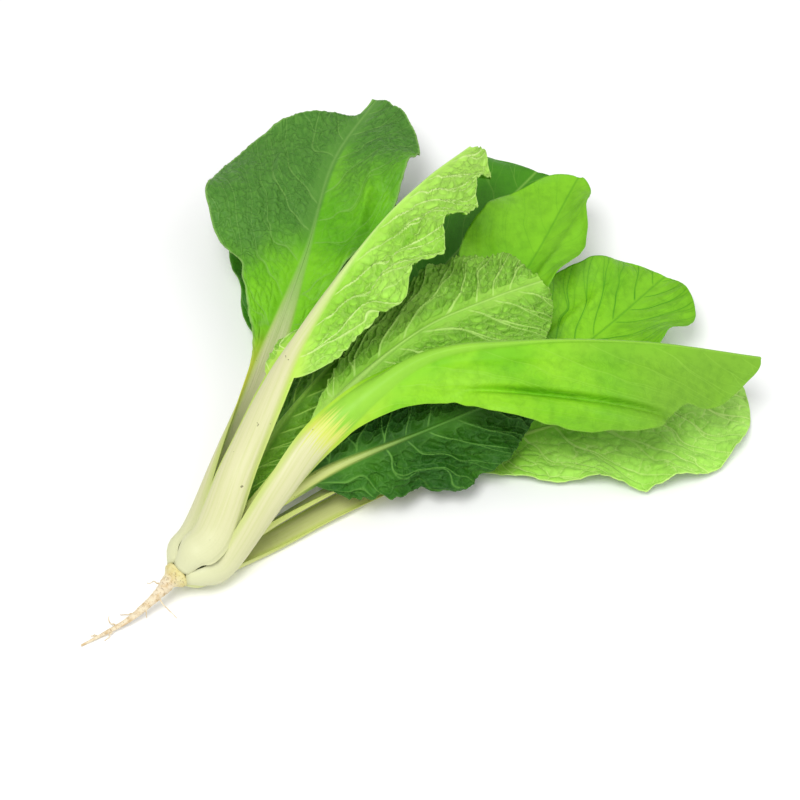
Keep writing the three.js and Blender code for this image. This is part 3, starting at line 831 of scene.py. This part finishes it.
def build_leaf(leaf, seed):
    """One leaf as a mesh: both faces lie half the blade's thickness from the middle of the sheet, plus
    their shares of the stalk's swelling and of the veins, and the relief lifts and lowers them all."""
    relief = RELIEF[leaf.name]
    s, u, rib, total = leaf_grid(leaf, relief, seed)
    height, ridge, fields = leaf_height(leaf, relief, s, u, total, seed)
    for line in CREASES.get(leaf.name, []):
        height = height + crease(s, u, *line)
    swell = rib_swell(leaf, s, u, rib, seed)
    reach = np.abs(u) / total
    edge = BLADE_THICKNESS / 2 * (1 - MARGIN_THINNING * smooth(0.9, 1, reach))
    outside = leaf.place(s, u, height + edge + swell * OUTER_SHARE + ridge)
    inside = leaf.place(s, u, height - edge - swell * (1 - OUTER_SHARE) + INNER_RIDGE * ridge)
    lay_on_surface(outside, inside)

    rows, columns = s.shape
    points = np.concatenate([outside.reshape(-1, 3), inside.reshape(-1, 3)]) * MM + SHIFT
    quads = grid_faces(rows, columns)
    faces = np.concatenate([quads, quads[:, ::-1] + rows * columns, rim_faces(rows, columns)])
    fields |= {"along": s, "across": u, "reach": reach, "margin": total - np.abs(u)}
    fields["tone"] = leaf_tone(leaf, s, u, seed)
    attributes = {key: np.concatenate([values.ravel(), values.ravel()]) for key, values in fields.items()}
    attributes["outer_face"] = np.repeat([1.0, 0.0], s.size)
    uv = np.stack([s * leaf.length, u], -1).reshape(-1, 2) / leaf.length
    thing = make_mesh(leaf.name, points, faces, attributes, np.concatenate([uv, uv]))
    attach(thing, "root")
    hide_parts(f"{leaf.name}_stalk", f"{leaf.name}_blade")
    return thing


pieces = {name: build_leaf(leaf, 100 * n) for n, (name, leaf) in enumerate(leaves.items(), 1)}
print("triangles:", {name: 2 * len(piece.data.polygons) for name, piece in pieces.items()})

# %% [markdown]
# ## Tubes
#
# Crown, taproot and rootlets are all tubes along a line, with a radius that changes with the way along
# and round. A curve object with a bevel could make them too, but its radius can't change round the line,
# as scars and lumps need.

# %% Tubes along a line
def tube(centres, along, radii):
    """Corners, quads and end triangles of a closed tube: each ring is a circle round its centre, square
    to its direction, whose radius may differ at each angle."""
    level = np.cross([0, 0, 1.0], along)
    level /= np.linalg.norm(level, axis=-1, keepdims=True)
    rise = np.cross(along, level)
    sides = radii.shape[1]
    angle = 2 * np.pi * np.arange(sides) / sides
    spoke = np.cos(angle)[None, :, None] * level[:, None] + np.sin(angle)[None, :, None] * rise[:, None]
    points = (centres[:, None] + radii[..., None] * spoke).reshape(-1, 3)
    r, c = np.meshgrid(np.arange(len(centres) - 1), np.arange(sides), indexing="ij")
    a, b = (r * sides + c).ravel(), (r * sides + (c + 1) % sides).ravel()
    quads = np.stack([a, b, b + sides, a + sides], 1)
    i = np.arange(sides)
    j = (i + 1) % sides
    last = (len(centres) - 1) * sides
    first_hub, last_hub = np.full(sides, len(points)), np.full(sides, len(points) + 1)
    caps = np.concatenate([np.stack([first_hub, j, i], 1), np.stack([last_hub, last + i, last + j], 1)])
    return np.concatenate([points, centres[[0, -1]]]), quads, caps


def join(tubes):
    """One list of corners and one of triangles from several tubes, each quad cut along its diagonal."""
    points, quads, caps, count = [], [], [], 0
    for corners, sides, ends in tubes:
        points.append(corners)
        quads.append(sides + count)
        caps.append(ends + count)
        count += len(corners)
    quads = np.concatenate(quads)
    return np.concatenate(points), np.concatenate([quads[:, [0, 1, 2]], quads[:, [0, 2, 3]], *caps])


print("a plain tube of 2 rings has", len(tube(np.eye(3)[:2], np.eye(3)[:2], np.ones((2, 6)))[1]), "quads")

# %% [markdown]
# ## Crown and taproot
#
# The crown is the short tan stem that the leaves leave, ringed by the scars of older leaves, and it is
# turned, so a profile of places and radii gives it. Below it the taproot tapers and bends down to the
# surface.

# %% Crown and taproot
STUB_END = 11.3
CROWN_PROFILE = [
    (STUB_END, 0.45), (STUB_END - 0.4, 1.1), (-0.6, 1.3), (-0.7, 5.4),
    (-1.6, 6.3), (-3.2, 6.0), (-4.8, 4.5), (-6.1, 3.4),
]
ROOT_PATH = [
    (-6.2, 0.1, CROWN_HEIGHT - 0.1), (-12, 0.5, 12), (-19, 1.9, 8.4), (-25, 3.2, 5.8), (-31, 5, 3.8),
    (-39, 8, 2.0), (-50, 11.5, 1.0),
]
ROOT_RADII = [3.4, 2.3, 1.7, 1.3, 1.0, 0.7, 0.45]
CROWN_RINGS, ROOT_RINGS, ROOT_SIDES = 60, 150, 48
LUMPS, SCARS, WRINKLES = 0.07, 0.05, 0.03
SCAR_PHASE_PER_MM = 3.2
SCAR_END = (3, 12)
root_line = Line(ROOT_PATH)


def unevenness(reach, angle):
    """The radius over the plain root's: lumps and wrinkles from noise that runs round on a circle, so
    that it meets itself, and scars that ring the top as a sine of the way along."""
    round_x, round_y = 3.0 * np.sin(angle) + 8, 3.0 * np.cos(angle) + 8
    lumps = drifting(reach * 0.35 + round_x, round_y, 901)
    scars = np.sin(reach * SCAR_PHASE_PER_MM + 2 * np.sin(angle))
    scars = scars * (1 - smooth(*SCAR_END, reach)) * smooth(0, 1, reach)
    wrinkles = drifting(reach * 1.3, round_x + 2 * round_y, 903)
    return 1 + smooth(0, 2, reach) * (LUMPS * lumps + SCARS * scars + WRINKLES * wrinkles)


def crown_tube():
    """The turned crown, whose profile is read by the share of its length, and then the taproot."""
    x, r = np.array(CROWN_PROFILE).T
    far = np.concatenate([[0], np.cumsum(np.hypot(np.diff(x), np.diff(r)))])
    q = np.linspace(0, far[-1], CROWN_RINGS)
    flat = np.zeros(CROWN_RINGS)
    t = np.linspace(0, 1, ROOT_RINGS)[1:]
    crown_centres = np.stack([np.interp(q, far, x), flat, flat + CROWN_HEIGHT], 1)
    centres = np.concatenate([crown_centres, root_line.at(t)])
    along = np.concatenate([np.tile([-1.0, 0, 0], (CROWN_RINGS, 1)), root_line.along(t)])
    root_radii = np.interp(t, np.linspace(0, 1, len(ROOT_RADII)), ROOT_RADII)
    radii = np.concatenate([np.interp(q, far, r), root_radii])[:, None]
    reach = np.concatenate([flat, t * root_line.length])[:, None]
    angle = 2 * np.pi * np.arange(ROOT_SIDES)[None, :] / ROOT_SIDES
    return tube(centres, along, radii * unevenness(reach, angle))


skin = crown_tube()
print("crown and taproot:", len(skin[0]), "corners, root", round(root_line.length), "mm long")

# %% [markdown]
# ## Rootlets
#
# A pulled root keeps a few fine side roots. Each is a thin tube of its own, and how long it is and where
# it leaves comes from a row of seeded draws, so that they differ from each other but not from one run to
# the next. A particle system would scatter hairs faster, but they couldn't droop onto the surface and
# lie there.

# %% Rootlets
ROOTLET_COUNT = 9
ROOTLET_SPAN = (0.03, 0.88)
ROOTLET_BASE, ROOTLET_TIP = 0.44, 0.12
ROOTLET_LENGTH = (3, 12)
ROOTLET_LEAN = (0.5, 1.3)
ROOTLET_WANDER = (-1.3, 0.9)
ROOTLET_DROOP = 0.7
ROOTLET_KINK = 0.8
ROOTLET_SEED = 41


def seeded_draws(seed):
    """Draws between 0 and 1: each is the last one's whole number times 16807, modulo 2^31 - 1."""
    state = seed
    while True:
        state = state * 16807 % 2147483647
        yield state / 2147483647


def rootlet(draws, index, steps=28, sides=8):
    """A hair-thin tube that leaves the taproot sideways, droops with the square of the way along, and
    turns slowly as it goes."""
    t = mix(*ROOTLET_SPAN, (index + 0.7 * next(draws)) / ROOTLET_COUNT)
    start, along = root_line.at(np.array(t)), root_line.along(np.array(t))
    side = 1 if index % 2 else -1
    heading = np.arctan2(along[1], along[0]) + side * mix(*ROOTLET_LEAN, next(draws))
    reach = mix(*ROOTLET_LENGTH, next(draws)) * (1 - 0.2 * t)
    q = np.linspace(0, 1, steps)
    angle = heading + side * mix(*ROOTLET_WANDER, next(draws)) * q
    radius = mix(ROOTLET_BASE, ROOTLET_TIP, q)
    height = np.maximum(radius + 0.1, start[2] - ROOTLET_DROOP * reach * q**2)
    ahead_x, ahead_y = np.cos(angle), np.sin(angle)
    centres = np.stack([start[0] + reach * q * ahead_x, start[1] + reach * q * ahead_y, height], 1)
    kink = ROOTLET_KINK * drifting(q * 5, index, 905) * smooth(0, 0.3, q)
    centres = centres + kink[:, None] * np.stack([-ahead_y, ahead_x, np.zeros(steps)], 1)
    ahead = np.gradient(centres, axis=0)
    ahead /= np.linalg.norm(ahead, axis=1, keepdims=True)
    return tube(centres, ahead, np.tile(radius[:, None], (1, sides)))


def build_crown():
    """One piece of crown, taproot and rootlets. collar is 1 at the crown and fades below it."""
    draws = seeded_draws(ROOTLET_SEED)
    points, triangles = join([skin] + [rootlet(draws, n) for n in range(ROOTLET_COUNT)])
    collar = {"collar": smooth(-9, -2, points[:, 0])}
    thing = make_mesh("crown_root_skin", points * MM + SHIFT, triangles, collar)
    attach(thing, "root")
    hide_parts("crown_root")
    return thing


crown = build_crown()
print("crown and roots:", len(crown.data.polygons), "triangles")

# %% [markdown]
# ## Painting with expressions
#
# A finish is a small sum: how pale is this place, how green, how wet. The class below lets it be written
# as one. It wraps the output of a shader node, and adding or multiplying two of them adds the Math node
# that does it.

# %% Sockets
class Socket:
    """One output of a shader node. Arithmetic on it adds Math nodes."""

    def __init__(self, finish, output):
        self.finish, self.output = finish, output

    def math(self, operation, *values):
        """Adds a Math node with one operation on the values."""
        return self.finish.node("ShaderNodeMath", {"operation": operation}, dict(enumerate(values)))

    def __add__(self, other):
        return self.math("ADD", self, other)

    def __sub__(self, other):
        return self.math("SUBTRACT", self, other)

    def __rsub__(self, other):
        return self.math("SUBTRACT", other, self)

    def __mul__(self, other):
        return self.math("MULTIPLY", self, other)

    __radd__, __rmul__ = __add__, __mul__

    def size(self):
        """The value without its sign."""
        return self.math("ABSOLUTE", self)

    def highest(self, other):
        """The larger of two values."""
        return self.math("MAXIMUM", self, other)

    def from_whole(self):
        """Distance from the nearest whole number."""
        return self.math("PINGPONG", self, 0.5)

    def ramp(self, low, high):
        """0 where the value is low, 1 where it is high, and an S curve between them."""
        settings = {"interpolation_type": "SMOOTHSTEP", "clamp": True}
        return self.finish.node("ShaderNodeMapRange", settings, {0: self, 1: low, 2: high, 3: 0.0, 4: 1.0})


print("a socket knows", sum(1 for name in vars(Socket) if callable(getattr(Socket, name))), "operations")

# %% [markdown]
# ## A material under construction
#
# A material could be drawn by hand in the node editor, but twelve leaves with the same plan are quicker
# to keep alike in code. One method adds any node, and short ones on top of it add the few kinds that
# this head needs: a stored value, two noises, a blend of two colours, and the links to the shader at the
# end.

# %% Finishes
class Finish:
    """A material under construction."""

    def __init__(self, name, **constants):
        self.material = bpy.data.materials.new(name)
        self.material.use_nodes = True
        self.tree = self.material.node_tree
        self.shader = self.tree.nodes["Principled BSDF"]
        for key, value in constants.items():
            self.shader.inputs[key.replace("_", " ")].default_value = value

    def node(self, kind, settings=None, inputs=None, output=0):
        """Adds a node, sets its settings, then gives its sockets values or links. Returns one of its
        outputs."""
        node = self.tree.nodes.new(kind)
        for key, value in (settings or {}).items():
            setattr(node, key, value)
        for key, value in (inputs or {}).items():
            self.feed(node.inputs[key], value)
        return Socket(self, node.outputs[output])

    def feed(self, socket, value):
        """Links a socket to another one's output, or sets its value."""
        if isinstance(value, Socket):
            self.tree.links.new(value.output, socket)
        else:
            socket.default_value = value

    def field(self, name):
        """A value that was stored with the mesh."""
        return self.node("ShaderNodeAttribute", {"attribute_name": name}, output="Fac")

    def noise(self, scale, detail=3.0, stretch=(1, 1, 1)):
        """Noise in space, with scale waves to a metre."""
        place = self.node("ShaderNodeTexCoord", output="Object")
        place = self.node("ShaderNodeVectorMath", {"operation": "MULTIPLY"}, {0: place, 1: stretch})
        return self.node("ShaderNodeTexNoise", None, {"Vector": place, "Scale": scale, "Detail": detail})

    def flat_noise(self, x, y, z, **inputs):
        """Noise on three values of the surface's own."""
        place = self.node("ShaderNodeCombineXYZ", None, {0: x, 1: y, 2: z})
        return self.node("ShaderNodeTexNoise", None, {"Vector": place, **inputs})

    def blend(self, low, high, share):
        """The colour low where share is 0 and high where it is 1."""
        low, high = (value if isinstance(value, Socket) else (*value, 1) for value in (low, high))
        settings = {"data_type": "RGBA", "clamp_factor": True}
        return self.node("ShaderNodeMix", settings, {0: share, 6: low, 7: high}, output=2)

    def done(self, colour=None, roughness=None, bump=None, strength=0.3, distance=0.0005):
        """Links what varies to the shader, the relief through a Bump node, and returns the material."""
        if colour is not None:
            self.feed(self.shader.inputs["Base Color"], colour)
        if roughness is not None:
            self.feed(self.shader.inputs["Roughness"], roughness)
        if bump is not None:
            settings = {"Strength": strength, "Distance": distance, "Height": bump}
            self.feed(self.shader.inputs["Normal"], self.node("ShaderNodeBump", None, settings))
        return self.material


def linear(red, green, blue):
    """A colour given as it looks on a screen, from 0 to 255, as the light that a shader works in."""
    v = np.array([red, green, blue]) / 255
    return tuple(float(c) for c in np.where(v <= 0.04045, v / 12.92, ((v + 0.055) / 1.055) ** 2.4))


print("middle grey on a screen is", round(linear(128, 128, 128)[0], 3), "of white light")

# %% [markdown]
# ## The blade's green
#
# The inner face of a leaf is the darker one. Each face mixes two greens in clouds, and turns to a third
# towards the tip. Furrows beside the net and fine wrinkles are darker, because less light gets into
# them. The wrinkles are the places where a warped noise is near its middle value, which gives thin
# wandering lines, and they feed the bump too.

# %% Blade green
# FURROW is the dark green that the random mottle and the painted shade in furrows and wrinkles blend
# towards.
FURROW = (0.0, 0.08, 0.0)
FURROW_SHARE = 0.58
WRINKLE_WIDTH = 0.09


class LeafFinish(Finish):
    """A leaf's material, with the fields of its mesh at hand."""

    def __init__(self, leaf, fine, calm_foot):
        """fine is the number of wrinkles to a mm, and calm_foot the share of them missing near the
        stalk."""
        super().__init__(f"{leaf.name}_skin", Specular_IOR_Level=0.25)
        self.leaf = leaf
        for name in ("along", "across", "rib", "net", "dome", "tone", "margin", "reach", "outer_face"):
            setattr(self, name, self.field(name))
        self.mottle = self.noise(190, 5)
        self.wrinkled = (1 - (1 - self.tone) * calm_foot) * self.rib.ramp(2.0, 8.0)
        place = (self.along * leaf.length, self.across, self.outer_face * 9)
        folds = self.flat_noise(*place, Scale=fine, Detail=2.5, Distortion=0.6)
        self.wrinkles = (folds - 0.5).size().ramp(0.0, WRINKLE_WIDTH)

    def green(self, inner, outer, creases, bumps):
        """creases: how much painted shade darkens the furrows beside the net. bumps: how strong the
        wrinkles are, in the bump and in the painted shade along them.
        """
        cloud = self.noise(26, 4).ramp(0.36, 0.64)
        clouded = [self.blend(one, two, cloud) for one, two, _ in (inner, outer)]
        faces = [self.blend(face, tip, self.tone) for face, (_, _, tip) in zip(clouded, (inner, outer))]
        green = self.blend(*faces, self.outer_face)
        dark = self.blend(green, FURROW, FURROW_SHARE)
        green = self.blend(green, dark, self.mottle.ramp(0.42, 0.75) * 0.3)
        # Painted shade: the furrows beside the net and the fine wrinkle lines are darkened where less light
        # gets in.
        green = self.blend(green, dark, (1 - self.dome.ramp(0.2, 0.8)) * self.wrinkled * creases)
        return self.blend(green, dark, (1 - self.wrinkles) * self.wrinkled * (0.5 * bumps))

    def veins(self, line, net_line, inner_show):
        """How clearly a vein shows: thin lines at the whole numbers of the three counts, clearer on the
        outer face, and the net. line: half width of the side veins in mm at the midrib."""
        gap = vein_gap(RELIEF[self.leaf.name])
        thin = line * (1.2 - self.reach)

        def lines(count, width, soft, inner, outer):
            away = self.field(count).from_whole() * gap - thin * width
            return (1 - away.ramp(-0.1, soft)) * (inner + (outer - inner) * self.outer_face)

        sides = lines("passed", 1.0, 0.4, inner_show, 0.9)
        forks = lines("fork", 0.7, 0.35, 0.8 * inner_show, 0.75)
        twigs = lines("twig", 0.5, 0.3, 0.5 * inner_show, 0.5) * self.rib.ramp(1.0, 6.0)
        mesh = (1 - self.net.ramp(0.05, 0.6)) * net_line
        patchy = 0.65 + 0.35 * self.noise(60, 3).ramp(0.35, 0.6)
        shown = sides.highest(forks).highest(twigs).highest(mesh)
        return shown * self.rib.ramp(-0.3, 1.5) * patchy * min(1.0, 0.3 + line * 3)


print("furrows keep", round(1 - FURROW_SHARE, 2), "of the blade's green")

# %% [markdown]
# ## The stalk's ivory
#
# The stalk is ivory with yellow-green margins, greener streaks along its fibres, and a few grey flecks.
# Its colour runs up the midrib and turns to the colour of the veins on the way. Where it turns, and at
# the foot of the blade, some leaves have a yellow tinge. The stalks of leaves that lie in shade are
# painted greener, as a painted shade tint.

# %% Stalk colours
STALK_PALE = linear(207, 206, 160)
STALK_STREAK = linear(188, 195, 124)
STALK_MARGIN = linear(176, 196, 84)
STALK_FOOT = linear(208, 210, 168)
STALK_SHADE_GREEN = linear(206, 218, 112)
TINGE = linear(216, 216, 76)
GREY_FLECK = linear(74, 70, 40)


def stalk_colour(finish, streaks, midrib, pale, shade, rib_yellow):
    """Ivory at the foot, streaked above it, greener at the margins, greener all over by the painted shade
    tint, and the midrib's colour beyond pale."""
    along = finish.along
    stalk = finish.blend(STALK_PALE, STALK_STREAK, streaks.ramp(0.38, 0.72) * 0.45)
    stalk = finish.blend(STALK_FOOT, stalk, along.ramp(0.0, 0.14))
    stalk = finish.blend(stalk, STALK_MARGIN, finish.rib.ramp(-2.4, 0.2) * along.ramp(0.03, 0.2) * 0.75)
    # Painted shade tint: the whole stalk of a leaf that lies in shade is blended towards a brighter green.
    stalk = finish.blend(stalk, STALK_SHADE_GREEN, shade)
    fleck = finish.noise(420, 1).ramp(0.76, 0.8) * along.ramp(0.05, 0.15) * (1 - along.ramp(0.4, 0.5))
    stalk = finish.blend(stalk, GREY_FLECK, fleck * 0.7)
    turning = (along + (streaks - 0.5) * 0.12).ramp(*pale)
    stalk = finish.blend(stalk, midrib, turning)
    return finish.blend(stalk, TINGE, turning * (1 - turning) * (4 * rib_yellow))


print("the ivory as light:", tuple(round(c, 2) for c in STALK_PALE))

# %% [markdown]
# ## A whole leaf's finish
#
# Blade and stalk meet along the rib's edge. They could be two materials, but then the seam between them
# would be as sharp as a cut. One material blends them over a few millimetres. The inner face is a
# little glossier than the outer one, clouds vary it, and the stalk is the glossiest, with a fine grain
# along its fibres.

# %% Leaf finish
def leaf_finish(
    leaf, inner, outer, inner_vein, outer_vein, line=0.35, net_line=0.3, inner_show=0.5, tinge=0.3,
    rib_yellow=0.0, pale=(0.4, 0.8), shade=0.0, shine=0.45, fine=0.22, bumps=0.3, creases=0.4,
    calm_foot=0.0, rim=0.3, rim_width=0.7,
):
    """The shader of one leaf. line: half width of its side veins in mm at the midrib. net_line: how
    clearly the net shows, and inner_show: how clearly veins show on the inner face. tinge and
    rib_yellow: how yellow the foot of the blade and the turn of the midrib are. pale: where along the
    leaf the stalk's colour ends. shade: how far a painted shade tint makes the whole stalk greener, for
    leaves that lie in shade. shine: the roughness before clouds and faces change it. rim and rim_width:
    how pale the margin is, and how far in, in mm."""
    finish = LeafFinish(leaf, fine, calm_foot)
    along, rib, start = finish.along, finish.rib, leaf.wing[0]
    green = finish.green(inner, outer, creases, bumps)
    vein_colour = finish.blend(inner_vein, outer_vein, finish.outer_face)
    veined = finish.blend(green, vein_colour, finish.veins(line, net_line, inner_show))
    veined = finish.blend(veined, vein_colour, (1 - finish.margin.ramp(0.1, rim_width)) * rim)
    foot = (1 - rib.ramp(0.5, 9)) * (1 - along.ramp(start - 0.02, start + 0.12))
    veined = finish.blend(veined, TINGE, foot * tinge)

    streaks = finish.flat_noise(along * 3.0, finish.across * 0.55, finish.outer_face, Scale=2.2, Detail=5.0)
    stalk = stalk_colour(finish, streaks, finish.blend(vein_colour, green, 0.3), pale, shade, rib_yellow)
    in_blade = (rib + along.ramp(start, start + 0.25) * 0.4).ramp(-0.9, 0.9)
    in_blade = in_blade * along.ramp(start - 0.12, start + 0.02)
    on_stalk = 1 - in_blade
    roughness = shine + 0.15 * finish.mottle + 0.08 * finish.outer_face - on_stalk * 0.14
    grain = finish.noise(900, 3) * 0.3 + streaks * on_stalk * 0.6
    relief = grain + in_blade * finish.wrinkles * finish.wrinkled
    return finish.done(finish.blend(stalk, veined, in_blade), roughness, relief, strength=bumps)


print("settings of a leaf's finish with a usual value:", len(leaf_finish.__defaults__))

# %% [markdown]
# ## The greens and who wears them
#
# Eight sets of colours serve the twelve leaves. Each has two greens and the tip's for the inner face,
# the same for the outer face, and the veins' colour on both. They are written as they look on a screen,
# and were set by comparing renders with the photograph.

# %% Greens
GREENS = {
    "bright": dict(
        inner=(linear(92, 160, 24), linear(118, 186, 34), linear(100, 166, 30)),
        outer=(linear(146, 206, 58), linear(172, 226, 88), linear(172, 220, 92)),
        inner_vein=linear(160, 204, 84), outer_vein=linear(204, 232, 144),
    ),
    "smooth": dict(
        inner=(linear(56, 127, 8), linear(74, 144, 12), linear(68, 137, 12)),
        outer=(linear(112, 186, 14), linear(138, 204, 30), linear(118, 172, 40)),
        inner_vein=linear(150, 200, 84), outer_vein=linear(146, 200, 66),
    ),
    "glossy": dict(
        inner=(linear(104, 178, 14), linear(136, 206, 30), linear(124, 192, 30)),
        outer=(linear(112, 184, 20), linear(134, 198, 30), linear(134, 198, 30)),
        inner_vein=linear(70, 146, 12), outer_vein=linear(150, 206, 66),
    ),
    "broad": dict(
        inner=(linear(92, 168, 10), linear(118, 192, 22), linear(84, 138, 48)),
        outer=(linear(84, 142, 30), linear(104, 164, 40), linear(84, 142, 30)),
        inner_vein=linear(128, 174, 84), outer_vein=linear(164, 200, 104),
    ),
    "deep": dict(
        inner=(linear(40, 92, 14), linear(62, 120, 20), linear(50, 104, 18)),
        outer=(linear(74, 128, 22), linear(112, 166, 38), linear(92, 146, 30)),
        inner_vein=linear(104, 158, 64), outer_vein=linear(150, 196, 80),
    ),
    # Painted shade: dark_right lies deep in shade, so these greens are darkened almost to black-green.
    "shade_dark": dict(
        inner=(linear(30, 74, 10), linear(46, 96, 14), linear(36, 84, 12)),
        outer=(linear(36, 84, 12), linear(64, 122, 24), linear(46, 96, 16)),
        inner_vein=linear(70, 120, 40), outer_vein=linear(96, 150, 56),
    ),
    "puckered": dict(
        inner=(linear(96, 164, 30), linear(124, 186, 44), linear(110, 176, 40)),
        outer=(linear(136, 192, 60), linear(164, 212, 84), linear(144, 198, 68)),
        inner_vein=linear(170, 208, 110), outer_vein=linear(176, 216, 110),
    ),
    # Partly floor_right's own pale green and partly painted light: lightened further so that the leaf stays
    # bright where it lies under folded_right.
    "pale": dict(
        inner=(linear(158, 226, 70), linear(176, 238, 92), linear(178, 236, 100)),
        outer=(linear(126, 186, 60), linear(150, 204, 80), linear(150, 204, 80)),
        inner_vein=linear(206, 244, 134), outer_vein=linear(206, 228, 140),
    ),
}
print("greens:", ", ".join(GREENS))

# %% [markdown]
# ## Dressing the leaves
#
# Most settings of a finish have a usual value, so each leaf names only what sets it apart: the outer
# leaves are yellow at the foot of the blade, the smooth ones at the back hardly show veins, and the
# crumpled ones have strong wrinkles and furrows darkened with painted shade.

# %% Finished leaves
# shade is the share of the painted shade tint that makes the stalk greener, for leaves that lie in shade.
FINISHES = {
    "top_stalk": dict(
        kind="bright", tinge=0.25, pale=(0.38, 0.75), line=0.42, net_line=0.12, bumps=0.55, creases=0.34,
        fine=0.24,
    ),
    "crinkled": dict(
        kind="puckered", tinge=0.0, pale=(0.15, 0.5), line=0.32, net_line=0.1, bumps=0.55, shade=0.4,
        creases=0.42, fine=0.26,
    ),
    "folded_right": dict(
        kind="smooth", tinge=0.3, pale=(0.27, 0.34), rib_yellow=0.6, line=0.05, net_line=0.0, shine=0.42,
        bumps=0.2, creases=0.1,
    ),
    "broad_left": dict(
        kind="broad", tinge=0.9, pale=(0.3, 0.62), line=0.24, net_line=0.15, bumps=0.7, creases=0.45,
        rim=0.9, rim_width=1.5, fine=0.2, calm_foot=0.75,
    ),
    "heart_dark": dict(
        kind="deep", tinge=0.0, pale=(0.2, 0.5), line=0.3, net_line=0.2, bumps=0.6, shade=0.5,
        creases=0.6, fine=0.3,
    ),
    "dark_right": dict(
        kind="shade_dark", tinge=0.0, pale=(0.3, 0.7), line=0.25, net_line=0.2, bumps=0.6, shade=0.6,
        creases=0.6, fine=0.3,
    ),
    "back_left": dict(
        kind="smooth", tinge=0.0, line=0.08, net_line=0.0, shade=0.5, creases=0.1, bumps=0.15,
    ),
    "back_middle": dict(
        kind="glossy", tinge=0.0, line=0.1, net_line=0.0, shade=0.5, creases=0.1, bumps=0.15,
    ),
    "back_right": dict(
        kind="glossy", tinge=0.0, pale=(0.4, 0.7), line=0.26, net_line=0.1, shade=0.5, creases=0.2,
        inner_show=0.9, bumps=0.2,
    ),
    "floor_right": dict(
        kind="pale", tinge=0.2, line=0.4, net_line=0.8, bumps=0.25, shade=0.4, creases=0.12,
        inner_show=1.0, rim=0.6,
    ),
    "floor_left": dict(kind="smooth", tinge=0.2, line=0.1, net_line=0.1, shade=0.4),
    "heart_bud": dict(kind="bright", tinge=0.2, pale=(0.3, 0.7), line=0.2, shade=0.4),
}


def paint(name, kind, **settings):
    """Gives a leaf its finish in one kind of greens."""
    pieces[name].data.materials.append(leaf_finish(leaves[name], **GREENS[kind], **settings))


for name, settings in FINISHES.items():
    paint(name, **settings)
print("finished:", len(FINISHES), "leaves")

# %% [markdown]
# ## The root's finish
#
# A washed root is cream and tan, yellower where the leaves leave it, with brown rings across it and dark
# specks of soil that stayed in the creases.

# %% Root finish
ROOT_CREAM = linear(228, 214, 184)
ROOT_TAN = linear(204, 178, 134)
COLLAR_YELLOW = linear(214, 208, 130)
ROOT_BROWN = linear(142, 110, 70)
SOIL = linear(60, 42, 30)


def root_finish():
    """Cream and tan in patches, yellow at the collar, then brown bands and specks of soil."""
    finish = Finish("root_skin", Specular_IOR_Level=0.3)
    patches = finish.noise(420, 5)
    specks = finish.noise(1300, 3)
    bands = finish.noise(800, 4, stretch=(2.5, 0.7, 0.7))
    near_leaves = finish.field("collar")
    colour = finish.blend(ROOT_CREAM, ROOT_TAN, patches.ramp(0.4, 0.7))
    colour = finish.blend(colour, COLLAR_YELLOW, near_leaves * 0.7)
    colour = finish.blend(colour, ROOT_BROWN, bands.ramp(0.56, 0.72) * 0.65)
    colour = finish.blend(colour, SOIL, specks.ramp(0.63, 0.7) * (0.35 + 0.6 * near_leaves))
    return finish.done(colour, 0.55 + 0.3 * patches, bands + specks * 0.4, strength=0.6, distance=0.0006)


crown.data.materials.append(root_finish())
print("root finish:", len(crown.data.materials[0].node_tree.nodes), "nodes")

# %% [markdown]
# ## Floor and light
#
# The head is shown on a white ground, with one large soft light from the upper left and plenty of fill.
# A pale floor catches a faint shadow, which shows that the head lies on something.

# %% Stage
FLOOR_HALF, FLOOR_DROP = 6.0, 0.0001
FLOOR_WHITE = (0.95, 0.95, 0.95, 1)
LIGHT_AIM = (0.0, 0.0, 0.03)
SKY_STRENGTH = 0.64


def make_floor():
    """A square a hair below the surface that the head lies on."""
    corners = np.array([(-1, -1, 0), (1, -1, 0), (1, 1, 0), (-1, 1, 0)]) * FLOOR_HALF - (0, 0, FLOOR_DROP)
    floor = make_mesh("floor", corners, np.array([[0, 1, 2, 3]]))
    finish = Finish("floor_paint", Base_Color=FLOOR_WHITE, Roughness=0.9, Specular_IOR_Level=0.1)
    floor.data.materials.append(finish.done())


def make_light(name, place, size, power):
    """A square soft light that faces the head."""
    data = bpy.data.lights.new(name, "AREA")
    data.energy, data.size = power, size
    light = bpy.data.objects.new(name, data)
    light.location = place
    light.rotation_euler = (light.location - Vector(LIGHT_AIM)).to_track_quat("Z", "Y").to_euler()
    bpy.context.collection.objects.link(light)
    print(name, "light:", power, "W from", place)


def make_sky():
    """Even white light from all round, for the fill."""
    world = bpy.data.worlds.new("studio")
    world.use_nodes = True
    background = world.node_tree.nodes["Background"]
    background.inputs["Color"].default_value = (1, 1, 1, 1)
    background.inputs["Strength"].default_value = SKY_STRENGTH
    bpy.context.scene.world = world


make_floor()
make_light("key", (-0.52, -0.2, 1.25), 0.5, 11)
make_light("fill", (0.4, -0.9, 1.0), 1.2, 4)
make_sky()
bpy.context.scene.view_settings.view_transform = "Standard"
print("sky strength:", SKY_STRENGTH)

# %% [markdown]
# ## Closing
